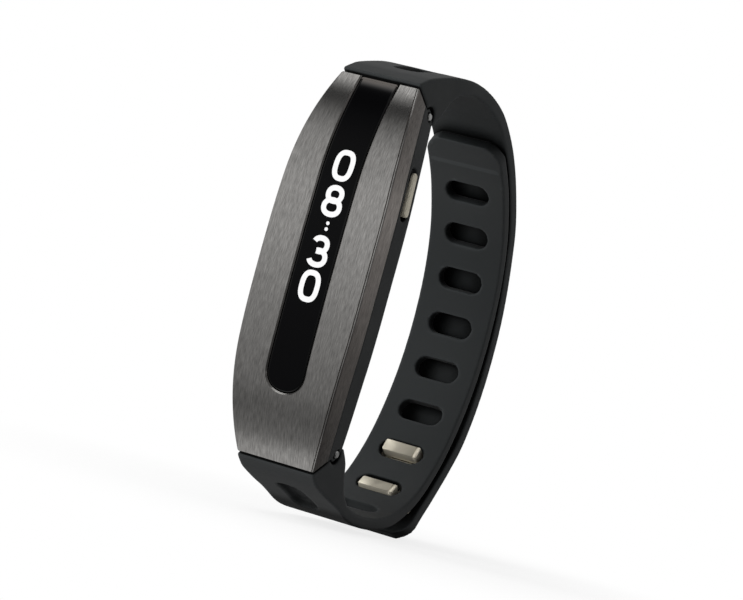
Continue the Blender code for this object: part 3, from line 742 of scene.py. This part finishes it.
def slot_cut(point, normal):
    """Stadium-shaped cutter through a strap at a point, along its normal."""
    along = (normal[1], -normal[0])
    outline = rounded_rectangle(SLOT_HALF, SLOT_WIDTH / 2, SLOT_WIDTH * 0.49)
    rings = []
    for t in (-1.5, 3.5):
        rings.append([strap_point(point, along, normal, u, v, t) for u, v in outline])
    return loft("slot", rings)


def make_slotted_strap():
    """Strap half with the row of slots, on the lower spring bar."""
    inner = even(spline(LOWER_INNER, 24))
    outer = offset(inner, STRAP_THICK)
    start = even(spline(LOWER_OUTER_START + [outer[3]], 18))
    polygon = start[:-1] + outer[3:] + list(reversed(inner[1:])) + spline(LOWER_HEEL, 12)
    polygon += lug_arc(-1) + mirrored(SEAM_LAND)
    strap = prism("strap_slotted", polygon, -STRAP_HALF, STRAP_HALF, STRAP_EDGE)
    cuts = module_end_cuts(-1)
    cuts += tip_cuts(even(offset(inner, STRAP_THICK / 2), 0.3))
    for k in range(SLOT_COUNT):
        cuts.append(slot_cut(*frame_at(inner, FIRST_SLOT + SLOT_PITCH * k)))
    boolean(strap, cuts)
    return mould(strap)


def make_clasp_strap():
    """One continuous moulding for the strap half that carries the clasp."""
    outer = even(spline(UPPER_OUTER, 24))
    inner = offset(outer, STRAP_THICK)
    heel_end = UPPER_HEEL[0][0] + 0.8
    first = min(i for i, p in enumerate(inner) if p[0] > heel_end)
    polygon = offset(outer, -OUTER_SWELL) + list(reversed(inner[first:])) + spline(UPPER_HEEL, 12)
    polygon += lug_arc(1) + SEAM_LAND
    strap = prism("strap_clasp", polygon, -STRAP_HALF, STRAP_HALF, STRAP_EDGE)
    cuts = module_end_cuts(1)
    cuts += tip_cuts(even(offset(outer, STRAP_THICK / 2), 0.3))
    boolean(strap, cuts)
    return mould(strap)


def peg_frames():
    """Where each peg stands on the slotted strap, and which way it points."""
    inner = even(spline(LOWER_INNER, 8), 1.4)
    return [frame_at(inner, FIRST_SLOT + SLOT_PITCH * k + shift) for k, shift in PEG_SLOTS]


def make_peg(name, point, normal):
    """Peg head standing proud of its slot, chamfered, with a fine groove near one end."""
    along = (normal[1], -normal[0])
    half_u, half_v = PEG_HALF
    shoulder = PEG_CHAMFER - PEG_PROUD
    layers = [(PEG_FOOT, 0.0), (shoulder, 0.0), (0.04 - PEG_PROUD, 0.04), (-PEG_PROUD, PEG_CHAMFER)]
    rings = []
    for t, inset in layers:
        outline = rounded_rectangle(half_u - inset, half_v - inset, PEG_RADIUS - inset * 0.5, 6)
        rings.append([strap_point(point, along, normal, u, v, t) for u, v in outline])
    peg = loft(name, rings)
    u0, u1 = PEG_GROOVE
    section = ((u0, -1.0), (u1, -1.0), (u1, shoulder), (u0, shoulder))
    groove = []
    for v in (-2.0, 2.0):
        groove.append([strap_point(point, along, normal, u, v, t) for u, t in section])
    return boolean(peg, [loft("groove", groove)])


# ---------------------------------------------------------------- display


DIGIT_SIZE = (3.25, 4.6)
DIGIT_STROKE = 0.78
DIGIT_X = 0.2
DIGITS = (("0", 14.65), ("8", 9.46), ("3", 2.16), ("0", -2.84))
DOTS = (6.28, 5.43)
DOT_R = 0.27
DIGIT_DEPTHS = (0.085, 0.115)


def superellipse(cx, cy, rx, ry, power, start=0.0, end=360.0, steps=48):
    out = []
    for k in range(steps + 1):
        a = math.radians(start + (end - start) * k / steps)
        c, s = math.cos(a), math.sin(a)
        x = cx + rx * math.copysign(abs(c) ** (2 / power), c)
        out.append((x, cy + ry * math.copysign(abs(s) ** (2 / power), s)))
    return out


def digit_paths(kind):
    """Centre lines of one digit's strokes, about its own centre."""
    rx = (DIGIT_SIZE[0] - DIGIT_STROKE) / 2
    ry = (DIGIT_SIZE[1] - DIGIT_STROKE) / 2
    if kind == "0":
        return [superellipse(0, 0, rx, ry, 2.7)]
    upper = (ry * 0.5, ry * 0.5, rx * 0.86)
    lower = (-ry * 0.46, ry * 0.54, rx)
    if kind == "8":
        return [superellipse(0, cy, w, h, 2.2) for cy, h, w in (upper, lower)]
    top = superellipse(-0.05, upper[0], upper[2], upper[1], 2.2, 158, -90)
    bottom = superellipse(-0.05, lower[0], lower[2], lower[1], 2.2, 90, -160)
    return [top + [(-0.45, 0.02)], [(-0.45, 0.08)] + bottom]


def ribbon(mesh, path, width, centre):
    """Thin closed strip along a centre line, lying just above the glass."""
    closed = math.dist(path[0], path[-1]) < 1e-6
    if closed:
        path = path[:-1]
    count = len(path)
    sides = []
    for i, (x, a) in enumerate(path):
        before = path[i - 1] if (closed or i) else path[0]
        after = path[(i + 1) % count] if (closed or i < count - 1) else path[-1]
        tangent = Vector((after[0] - before[0], after[1] - before[1])).normalized()
        row = []
        for depth in DIGIT_DEPTHS:
            for side in (1, -1):
                px = centre[0] + x - tangent.y * side * width / 2
                pa = centre[1] + a + tangent.x * side * width / 2
                row.append(mesh.verts.new(on_face(px, pa, depth)))
        sides.append([row[0], row[1], row[3], row[2]])
    spans = list(zip(sides, sides[1:]))
    if closed:
        spans.append((sides[-1], sides[0]))
    else:
        mesh.faces.new(sides[0])
        mesh.faces.new(sides[-1])
    for a, b in spans:
        for i in range(4):
            j = (i + 1) % 4
            mesh.faces.new((a[i], a[j], b[j], b[i]))


def make_digits():
    mesh = bmesh.new()
    for kind, along in DIGITS:
        for path in digit_paths(kind):
            ribbon(mesh, path, DIGIT_STROKE, (DIGIT_X, along))
    for along in DOTS:
        ring = superellipse(0, 0, DOT_R / 2, DOT_R / 2, 2.0, steps=16)
        ribbon(mesh, ring, DOT_R * 0.98, (DIGIT_X + 0.15, along))
    return finish(mesh, "display_digits")


def on_pad(x, along, depth):
    return (x, PAD_Y - depth, along)


def make_back_shell():
    """Back cover with its charging pad, screw seats and contact wells."""
    half_x, half_z = COVER_HALF
    right = [p for p in rounded_rectangle(half_x, half_z, COVER_RADIUS, 10) if p[0] > 0]
    right.sort(key=lambda p: math.atan2(p[1], p[0]))
    outline = [(0.0, -half_z)] + right + [(0.0, half_z)]
    rim = rounding(COVER_ROUND)
    layers = [(0.0, COVER_DEPTH)] + rim + [(rim[-1][0] + 0.1, 0.0)]
    cover = strip("back_shell", outline, layers, on_pad)
    shank, head = SCREW_RADII
    below = 5.0
    cuts = []
    for x in (-SCREW_AT[0], SCREW_AT[0]):
        for z in (-SCREW_AT[1], SCREW_AT[1]):
            cuts.append(revolve("seat", [(below, shank), (FAR, shank)], (x, 0, z), 24, "y"))
            wide = [(PAD_Y - SCREW_DEPTH, head), (PAD_Y - 0.06, head), (PAD_Y + 0.06, head + 0.12)]
            cuts.append(revolve("head", wide, (x, 0, z), 32, "y"))
    for z in (-CONTACT_Z, CONTACT_Z):
        r = CONTACT_RADIUS
        well = [(below, r), (PAD_Y - 0.08, r), (PAD_Y + 0.08, r + 0.16)]
        cuts.append(revolve("well", well, (0, 0, z), 48, "y"))
    return boolean(cover, cuts)


# ---------------------------------------------------------------- materials


WHITE = (1.0, 1.0, 1.0)
BLACK = (0.0, 0.0, 0.0)
SOFT_BLACK = (0.0105, 0.012, 0.0125)
GUNMETAL = (0.3, 0.293, 0.283)
GUNMETAL_SIDE = (0.33, 0.3, 0.28)
CHAMPAGNE = (0.84, 0.78, 0.64)
RUBBER_GLOSS = 0.36
RECESS_REACH = 3.0


def node(tree, kind, inputs=None, **settings):
    """Adds a shader node; an input given a socket is linked, and any other value is set."""
    made = tree.nodes.new("ShaderNode" + kind)
    for key, value in settings.items():
        setattr(made, key, value)
    for key, value in (inputs or {}).items():
        if isinstance(value, bpy.types.NodeSocket):
            tree.links.new(value, made.inputs[key])
        else:
            made.inputs[key].default_value = value
    return made


def math_node(tree, operation, a, b=0.0):
    return node(tree, "Math", {0: a, 1: b}, operation=operation).outputs[0]


def ramp(tree, fac, stops):
    """Grey or colour ramp through (position, colour) stops."""
    made = node(tree, "ValToRGB", {"Fac": fac})
    elements = made.color_ramp.elements
    while len(elements) < len(stops):
        elements.new(0.5)
    for element, (position, colour) in zip(elements, stops):
        element.position = position
        grey = (colour, colour, colour) if isinstance(colour, float) else colour
        element.color = (*grey, 1.0)
    return made.outputs["Color"]


def mix_colour(tree, fac, a, b, blend="MIX"):
    made = node(tree, "Mix", {0: fac, 6: a, 7: b}, data_type="RGBA", blend_type=blend)
    return made.outputs[2]


def mix_value(tree, fac, a, b):
    return node(tree, "Mix", {0: fac, 2: a, 3: b}, data_type="FLOAT").outputs[0]


def remap(tree, value, span, to=(0.0, 1.0), shape="LINEAR"):
    """The value's span mapped to another span, and held at its ends."""
    inputs = {0: value, 1: span[0], 2: span[1], 3: to[0], 4: to[1]}
    return node(tree, "MapRange", inputs, interpolation_type=shape).outputs[0]


def rgba(colour):
    return (*colour, 1.0)


def start_material(name):
    mat = bpy.data.materials.new(name)
    mat.use_nodes = True
    tree = mat.node_tree
    return mat, tree, tree.nodes["Principled BSDF"]


def millimetres(tree):
    """Object position in millimetres."""
    coords = node(tree, "TexCoord").outputs["Object"]
    return node(tree, "VectorMath", {0: coords, "Scale": 1 / MM}, operation="SCALE").outputs[0]


def noise(tree, vector, scale, detail=3.0, rough=0.55):
    inputs = {"Vector": vector, "Scale": scale, "Detail": detail, "Roughness": rough}
    return node(tree, "TexNoise", inputs).outputs["Fac"]


def bump(tree, bsdf, height, distance):
    inputs = {"Height": height, "Distance": distance * MM}
    tree.links.new(node(tree, "Bump", inputs).outputs["Normal"], bsdf.inputs["Normal"])


def rubber(name, colour, lift=1.7):
    """Matte elastomer: fine grain, faint mottling, edges lightened by a painted highlight and recesses
    darkened by painted shade.
    """
    mat, tree, bsdf = start_material(name)
    place = millimetres(tree)
    mottle = noise(tree, place, 0.22, 4.0)
    grain = noise(tree, place, 5.0, 6.0, 0.7)
    light = tuple(c * lift for c in colour)
    highlight_colour = tuple(c * lift * 1.3 for c in colour)
    base = mix_colour(tree, math_node(tree, "MULTIPLY", mottle, 0.5), rgba(colour), rgba(light))
    # Painted highlight: convex edges, found by pointiness, are lightened in the base colour.
    edge = node(tree, "NewGeometry").outputs["Pointiness"]
    painted_edge_highlight = ramp(tree, edge, [(0.5, 0.0), (0.56, 0.75)])
    base = mix_colour(tree, painted_edge_highlight, base, rgba(highlight_colour))
    # Painted shade: base colour and gloss darkened where ambient occlusion finds recesses and gaps.
    recess = node(tree, "AmbientOcclusion", {"Distance": RECESS_REACH * MM}, samples=8)
    shadow = ramp(tree, recess.outputs["AO"], [(0.45, 0.08), (0.92, 1.0)])
    base = mix_colour(tree, 1.0, base, shadow, "MULTIPLY")
    tree.links.new(base, bsdf.inputs["Base Color"])
    gloss = math_node(tree, "MULTIPLY", shadow, RUBBER_GLOSS)
    tree.links.new(gloss, bsdf.inputs["Specular IOR Level"])
    rough = ramp(tree, mottle, [(0.25, 0.5), (0.75, 0.62)])
    tree.links.new(rough, bsdf.inputs["Roughness"])
    bsdf.inputs["Sheen Weight"].default_value = 0.03
    bsdf.inputs["Sheen Roughness"].default_value = 0.45
    bump(tree, bsdf, grain, 0.006)
    return mat


def face_coordinates(tree):
    """(x, depth behind the front curve, z) in millimetres, for patterns that follow the face."""
    x, y, z = node(tree, "SeparateXYZ", {0: millimetres(tree)}).outputs
    height = math_node(tree, "ABSOLUTE", z)
    side = node(tree, "CombineXYZ", {1: y, 2: height}).outputs[0]
    depths = []
    for centre_y, centre_z, radius in ((FRONT_Y + MID_R, 0.0, MID_R), (BEND_Y, BEND_Z, END_R)):
        centre = (0.0, centre_y + FRAME_Y, centre_z)
        away = node(tree, "VectorMath", {0: side, 1: centre}, operation="DISTANCE")
        depths.append(math_node(tree, "SUBTRACT", radius, away.outputs["Value"]))
    at_end = math_node(tree, "GREATER_THAN", height, MID_HALF)
    return x, mix_value(tree, at_end, *depths), z


def streaks(tree, place, fine, length, detail=3.0):
    """Noise drawn out along z: fine cycles per millimetre across it, one per length along it."""
    across, depth, along = place
    inputs = {
        0: math_node(tree, "MULTIPLY", across, fine),
        1: math_node(tree, "MULTIPLY", depth, fine),
        2: math_node(tree, "MULTIPLY", along, 1.0 / length),
    }
    vector = node(tree, "CombineXYZ", inputs).outputs[0]
    return noise(tree, vector, 1.0, detail)


def brushed_metal(name, colour, warm):
    """Dark steel brushed lengthways, with warmer side faces."""
    mat, tree, bsdf = start_material(name)
    place = face_coordinates(tree)
    fine = streaks(tree, place, 6.0, 1.3, 4.0)
    broad = streaks(tree, place, 1.8, 6.0, 2.0)
    lines = mix_value(tree, 0.2, fine, broad)
    tone = ramp(tree, lines, [(0.3, 0.6), (0.5, 0.95), (0.7, 1.3)])
    normal = node(tree, "NewGeometry").outputs["Normal"]
    sideways = math_node(tree, "ABSOLUTE", node(tree, "SeparateXYZ", {0: normal}).outputs[0])
    tint = mix_colour(tree, math_node(tree, "POWER", sideways, 3.0), rgba(colour), rgba(warm))
    base = mix_colour(tree, 1.0, tint, tone, "MULTIPLY")
    tree.links.new(base, bsdf.inputs["Base Color"])
    bsdf.inputs["Metallic"].default_value = 1.0
    rough = ramp(tree, lines, [(0.3, 0.25), (0.7, 0.18)])
    tree.links.new(rough, bsdf.inputs["Roughness"])
    bsdf.inputs["Anisotropic"].default_value = 0.95
    across = node(tree, "VectorMath", {0: normal, 1: (0.0, 0.0, 1.0)}, operation="CROSS_PRODUCT")
    tree.links.new(across.outputs[0], bsdf.inputs["Tangent"])
    bump(tree, bsdf, fine, 0.004)
    return mat


def glass(name):
    """Gloss black cover glass, brighter on its rim and warm where it runs out over the end."""
    mat, tree, bsdf = start_material(name)
    _, depth, z = face_coordinates(tree)
    haze = noise(tree, millimetres(tree), 0.5, 3.0)
    bsdf.inputs["Base Color"].default_value = (0.0015, 0.0015, 0.0017, 1.0)
    run_out = remap(tree, z, (END_Z - 2.0, END_Z - 0.2), shape="SMOOTHERSTEP")
    level = mix_value(tree, run_out, 0.05, 0.85)
    rim = remap(tree, depth, (GLASS_TOP + 0.01, GLASS_TOP + 0.06), (0.0, 0.5))
    gloss = math_node(tree, "MAXIMUM", level, rim)
    tree.links.new(gloss, bsdf.inputs["Specular IOR Level"])
    tint = mix_colour(tree, run_out, rgba(WHITE), (1.0, 0.9, 0.82, 1.0))
    tree.links.new(tint, bsdf.inputs["Specular Tint"])
    rough = ramp(tree, haze, [(0.3, 0.04), (0.8, 0.09)])
    tree.links.new(rough, bsdf.inputs["Roughness"])
    return mat


def lit_digits(name):
    """Lit segments seen through the glass: white, with a faint fine raster."""
    mat, tree, bsdf = start_material(name)
    raster = streaks(tree, face_coordinates(tree), 6.0, 0.2, 1.0)
    glow = ramp(tree, raster, [(0.2, 0.9), (0.6, 1.0)])
    bsdf.inputs["Base Color"].default_value = (0.02, 0.02, 0.02, 1.0)
    bsdf.inputs["Roughness"].default_value = 0.3
    tree.links.new(glow, bsdf.inputs["Emission Color"])
    bsdf.inputs["Emission Strength"].default_value = 0.95
    return mat


def satin_metal(name, colour, rough, metallic=1.0):
    """Turned or tumbled metal: fine noise in colour, roughness and surface."""
    mat, tree, bsdf = start_material(name)
    place = millimetres(tree)
    speck = noise(tree, place, 14.0, 3.0)
    cloud = noise(tree, place, 0.8, 2.0)
    dark = tuple(c * 0.8 for c in colour)
    tree.links.new(mix_colour(tree, speck, rgba(dark), rgba(colour)), bsdf.inputs["Base Color"])
    bsdf.inputs["Metallic"].default_value = metallic
    spread = ramp(tree, cloud, [(0.3, rough * 0.85), (0.7, rough * 1.25)])
    tree.links.new(spread, bsdf.inputs["Roughness"])
    bump(tree, bsdf, speck, 0.002)
    return mat


def moulded(name, colour, rough, grain=4.0, metallic=0.0):
    """Plain moulded, coated or laminated surface with tone and gloss variation."""
    mat, tree, bsdf = start_material(name)
    place = millimetres(tree)
    speck = noise(tree, place, grain, 5.0, 0.65)
    cloud = noise(tree, place, 0.3, 3.0)
    light = tuple(min(1.0, c * 1.5 + 0.002) for c in colour)
    tree.links.new(mix_colour(tree, cloud, rgba(colour), rgba(light)), bsdf.inputs["Base Color"])
    bsdf.inputs["Metallic"].default_value = metallic
    spread = ramp(tree, speck, [(0.3, rough * 0.88), (0.7, min(1.0, rough * 1.12))])
    tree.links.new(spread, bsdf.inputs["Roughness"])
    bump(tree, bsdf, speck, 0.004)
    return mat


def make_materials():
    return {
        "gunmetal": brushed_metal("gunmetal", GUNMETAL, GUNMETAL_SIDE),
        "lens_black": glass("lens_black"),
        "black_plastic": rubber("black_plastic", SOFT_BLACK, 1.4),
        "strap_rubber": rubber("strap_rubber", SOFT_BLACK),
        "seal_rubber": moulded("seal_rubber", (0.05, 0.05, 0.055), 0.8),
        "champagne": satin_metal("champagne", CHAMPAGNE, 0.36, metallic=0.7),
        "steel": satin_metal("steel", (0.62, 0.62, 0.61), 0.25),
        "gold": satin_metal("gold", (0.8, 0.6, 0.28), 0.22),
        "display_glass": moulded("display_glass", (0.01, 0.012, 0.02), 0.1, 1.0),
        "board_green": moulded("board_green", (0.02, 0.12, 0.05), 0.45),
        "chip_black": moulded("chip_black", (0.015, 0.015, 0.016), 0.5, 8.0),
        "ceramic": moulded("ceramic", (0.72, 0.7, 0.66), 0.45, 6.0),
        "flex_orange": moulded("flex_orange", (0.5, 0.2, 0.03), 0.35),
        "battery_silver": moulded("battery_silver", (0.5, 0.51, 0.53), 0.38, 2.0, 0.7),
        "digits": lit_digits("digits"),
    }


# ---------------------------------------------------------------- studio


CAMERA_AT = (0.21912, -0.41834, -0.0081)
CAMERA_HEADING = math.radians(27.0)
CAMERA_PITCH = math.radians(0.7)
CAMERA_ROLL = math.radians(15.43)
CAMERA_LENS = 161.6

FLOOR_GAP = 0.0002
FLOOR_RADII = (0.02, 0.05, 0.09, 0.14, 0.2, 0.3, 0.6, 1.2)
FLOOR_SIDES = 64

KEY_AT = (-0.28, -0.45, 0.12)
KEY_TOWARDS = (0, 0.02, 0)
KEY_SIZE = 0.35
KEY_ENERGY = 3.2

# Light by the height it comes from, -1 straight below to 1 straight above: bands for the side
# that the face looks at, and for the side behind it.
FRONT_BANDS = [
    (-1.0, 1.2), (-0.8, 1.0), (-0.765, 0.8), (-0.74, 1.25), (-0.71, 0.7), (-0.68, 0.42),
    (-0.62, 0.34), (-0.5, 0.27), (-0.44, 0.3), (-0.36, 0.4), (-0.22, 0.45), (-0.065, 0.48),
    (-0.03, 0.56), (0.0, 0.7), (0.035, 0.84), (0.08, 0.95), (0.2, 0.82), (0.4, 0.74),
    (0.5, 0.52), (0.58, 0.3), (0.63, 0.12), (0.67, 0.03), (0.715, 0.03), (0.74, 0.3),
    (0.765, 1.7), (0.83, 1.5), (0.9, 1.5), (0.95, 0.6), (1.0, 0.4),
]
REAR_BANDS = [
    (-1.0, 0.2), (-0.25, 0.07), (-0.19, 0.11), (-0.12, 0.16), (-0.05, 0.16), (-0.01, 0.22),
    (0.015, 0.3), (0.035, 0.36), (0.06, 0.47), (0.09, 0.48), (0.13, 0.34), (0.18, 0.29),
    (0.25, 0.19), (0.3, 0.18), (0.6, 0.4), (1.0, 0.6),
]
BAND_SCALE = 0.6  # keeps the ramps near or below one
FACING = (-0.8, -0.6, 0.0)


def make_camera():
    """Long lens from the right and in front, rolled as the photographer framed it."""
    h, p, roll = CAMERA_HEADING, CAMERA_PITCH, CAMERA_ROLL
    forward = Vector((-math.sin(h) * math.cos(p), math.cos(h) * math.cos(p), math.sin(p)))
    level = Vector((math.cos(h), math.sin(h), 0.0))
    rise = level.cross(forward)
    right = level * math.cos(roll) + rise * math.sin(roll)
    up = rise * math.cos(roll) - level * math.sin(roll)
    matrix = Matrix((right, up, -forward)).transposed().to_4x4()
    matrix.translation = CAMERA_AT
    data = bpy.data.cameras.new("camera")
    data.lens = CAMERA_LENS
    data.sensor_width = 36.0
    data.clip_start = 0.01
    camera = bpy.data.objects.new("camera", data)
    camera.matrix_world = matrix
    bpy.context.collection.objects.link(camera)
    bpy.context.scene.camera = camera


def band_light(tree, height, bands):
    return ramp(tree, height, [((at + 1) / 2, level * BAND_SCALE) for at, level in bands])


def make_world():
    """White backdrop for the camera; a soft studio of bands and falloff for the light."""
    world = bpy.data.worlds.new("studio")
    bpy.context.scene.world = world
    world.use_nodes = True
    tree = world.node_tree
    tree.nodes.clear()
    direction = node(tree, "TexCoord").outputs["Generated"]
    _, y, z = node(tree, "SeparateXYZ", {0: direction}).outputs
    height = remap(tree, z, (-1.0, 1.0))
    facing = node(tree, "VectorMath", {0: direction, 1: FACING}, operation="DOT_PRODUCT")
    in_front = remap(tree, facing.outputs["Value"], (0.1, 0.5))
    shaded = remap(tree, y, (-0.2, 0.6), (0.5, 1.0))
    rear = mix_colour(tree, shaded, rgba(BLACK), band_light(tree, height, REAR_BANDS))
    light = mix_colour(tree, in_front, rear, band_light(tree, height, FRONT_BANDS))
    lit = node(tree, "Background", {"Color": light, "Strength": 1.0 / BAND_SCALE})
    backdrop = node(tree, "Background", {"Color": rgba(WHITE), "Strength": 1.0})
    is_camera = node(tree, "LightPath").outputs["Is Camera Ray"]
    both = node(tree, "MixShader", {0: is_camera, 1: lit.outputs[0], 2: backdrop.outputs[0]})
    output = tree.nodes.new("ShaderNodeOutputWorld")
    tree.links.new(both.outputs[0], output.inputs["Surface"])


def floor_mesh(centre, level):
    """Round floor in rings about a point below the band."""
    mesh = bmesh.new()
    middle = mesh.verts.new((centre.x, centre.y, level))
    rows = []
    for radius in FLOOR_RADII:
        row = []
        for k in range(FLOOR_SIDES):
            a = 2 * math.pi * k / FLOOR_SIDES
            px, py = centre.x + radius * math.cos(a), centre.y + radius * math.sin(a)
            row.append(mesh.verts.new((px, py, level)))
        rows.append(row)
    for k in range(FLOOR_SIDES):
        j = (k + 1) % FLOOR_SIDES
        mesh.faces.new((middle, rows[0][k], rows[0][j]))
        for inner, outer in zip(rows, rows[1:]):
            mesh.faces.new((inner[k], outer[k], outer[j], inner[j]))
    data = bpy.data.meshes.new("floor")
    mesh.to_mesh(data)
    mesh.free()
    return data


def floor_material(centre):
    """Pale matte paper under the band that fades into the white backdrop away from it."""
    mat, tree, bsdf = start_material("floor")
    place = node(tree, "TexCoord").outputs["Object"]
    grain = noise(tree, place, 900.0, 2.0)
    tree.links.new(ramp(tree, grain, [(0.0, 0.86), (1.0, 0.9)]), bsdf.inputs["Base Color"])
    bsdf.inputs["Roughness"].default_value = 0.5
    bsdf.inputs["Specular IOR Level"].default_value = 0.1
    bsdf.inputs["Emission Color"].default_value = rgba(WHITE)
    bsdf.inputs["Emission Strength"].default_value = 0.32
    away = node(tree, "VectorMath", {0: place, 1: tuple(centre)}, operation="SUBTRACT")
    flat = node(tree, "VectorMath", {0: away.outputs[0], 1: (1, 1, 0)}, operation="MULTIPLY")
    radius = node(tree, "VectorMath", {0: flat.outputs[0]}, operation="LENGTH")
    fade = remap(tree, radius.outputs["Value"], (0.02, 0.08), (0.7, 1.0), "SMOOTHSTEP")
    white = node(tree, "Emission", {"Color": rgba(WHITE), "Strength": 1.0})
    both = node(tree, "MixShader", {0: fade, 1: bsdf.outputs[0], 2: white.outputs[0]})
    tree.links.new(both.outputs[0], tree.nodes["Material Output"].inputs["Surface"])
    return mat


def make_floor():
    low, high = cad_box
    centre = (low + high) / 2
    data = floor_mesh(centre, low.z - FLOOR_GAP)
    data.materials.append(floor_material(centre))
    floor = bpy.data.objects.new("floor", data)
    floor.visible_glossy = False
    bpy.context.collection.objects.link(floor)


def make_key_light():
    """Large soft light from the front left, kept out of reflections."""
    data = bpy.data.lights.new("key", "AREA")
    data.shape = "RECTANGLE"
    data.size = KEY_SIZE
    data.size_y = KEY_SIZE
    data.energy = KEY_ENERGY
    lamp = bpy.data.objects.new("key", data)
    lamp.location = KEY_AT
    aim = Vector(KEY_TOWARDS) - Vector(KEY_AT)
    lamp.rotation_euler = aim.to_track_quat("-Z", "Y").to_euler()
    lamp.visible_glossy = False
    bpy.context.collection.objects.link(lamp)


# ---------------------------------------------------------------- assembly


def dress(obj, mat, slot, body, *nodes):
    """Gives a finished piece its material, puts it on its body when the body is a name and otherwise
    leaves it in place on no body, and hides the CAD nodes it stands for; the slot is not used.
    """
    obj.data.materials.clear()
    obj.data.materials.append(mat)
    if isinstance(body, str):
        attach(obj, body)
    else:
        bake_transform(obj)
    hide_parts(*nodes)


def repaint_cad(mats):
    """Every CAD node that stays takes the procedural material of its slot."""
    for row in frame["record"]["subparts"]:
        data = frame["nodes"][row["node"]].data
        data.materials.clear()
        data.materials.append(mats[row["material_slot"]])


def flex_span():
    """The clasp joint's two bodies, and two points on the clasp strap to either side of its flex line.
    """
    joint = next(j for j in frame["joints"] if j["name"] == "clasp_peel")
    pivot = Vector(joint["pos_m"])
    along = Vector(FLEX_ALONG).normalized() * FLEX_REACH * MM
    return joint["parent"], joint["child"], tuple(pivot - along), tuple(pivot + along)


def make_pieces(mats):
    """Every visual piece, in place of its CAD nodes: each on its body, except the clasp strap, which is
    on none.
    """

    def put(obj, slot, body, *nodes):
        dress(obj, mats[slot], slot, body, *nodes)

    put(make_metal_face(), "gunmetal", "module", "faceplate")
    put(make_glass(), "lens_black", "module", "display_lens")
    put(make_shell(), "black_plastic", "module", "housing")
    put(make_back_shell(), "black_plastic", "module", "back_cover")
    dress(make_digits(), mats["digits"], "display_glass", "module")
    put(make_button_cap(), "champagne", "button", "side_button")
    put(make_slotted_strap(), "strap_rubber", "lower_strap", "lower_strap")
    put(make_clasp_strap(), "strap_rubber", flex_span(), "upper_strap", "upper_strap_end")
    for which, (point, normal) in zip(("upper", "lower"), peg_frames()):
        peg = make_peg("peg_" + which + "_head", point, normal)
        put(peg, "champagne", "clasp_end", "clasp_peg_" + which)


def main():
    mats = make_materials()
    repaint_cad(mats)
    make_pieces(mats)
    make_world()
    make_floor()
    make_key_light()
    make_camera()
    bpy.context.scene.view_settings.view_transform = "Standard"


main()
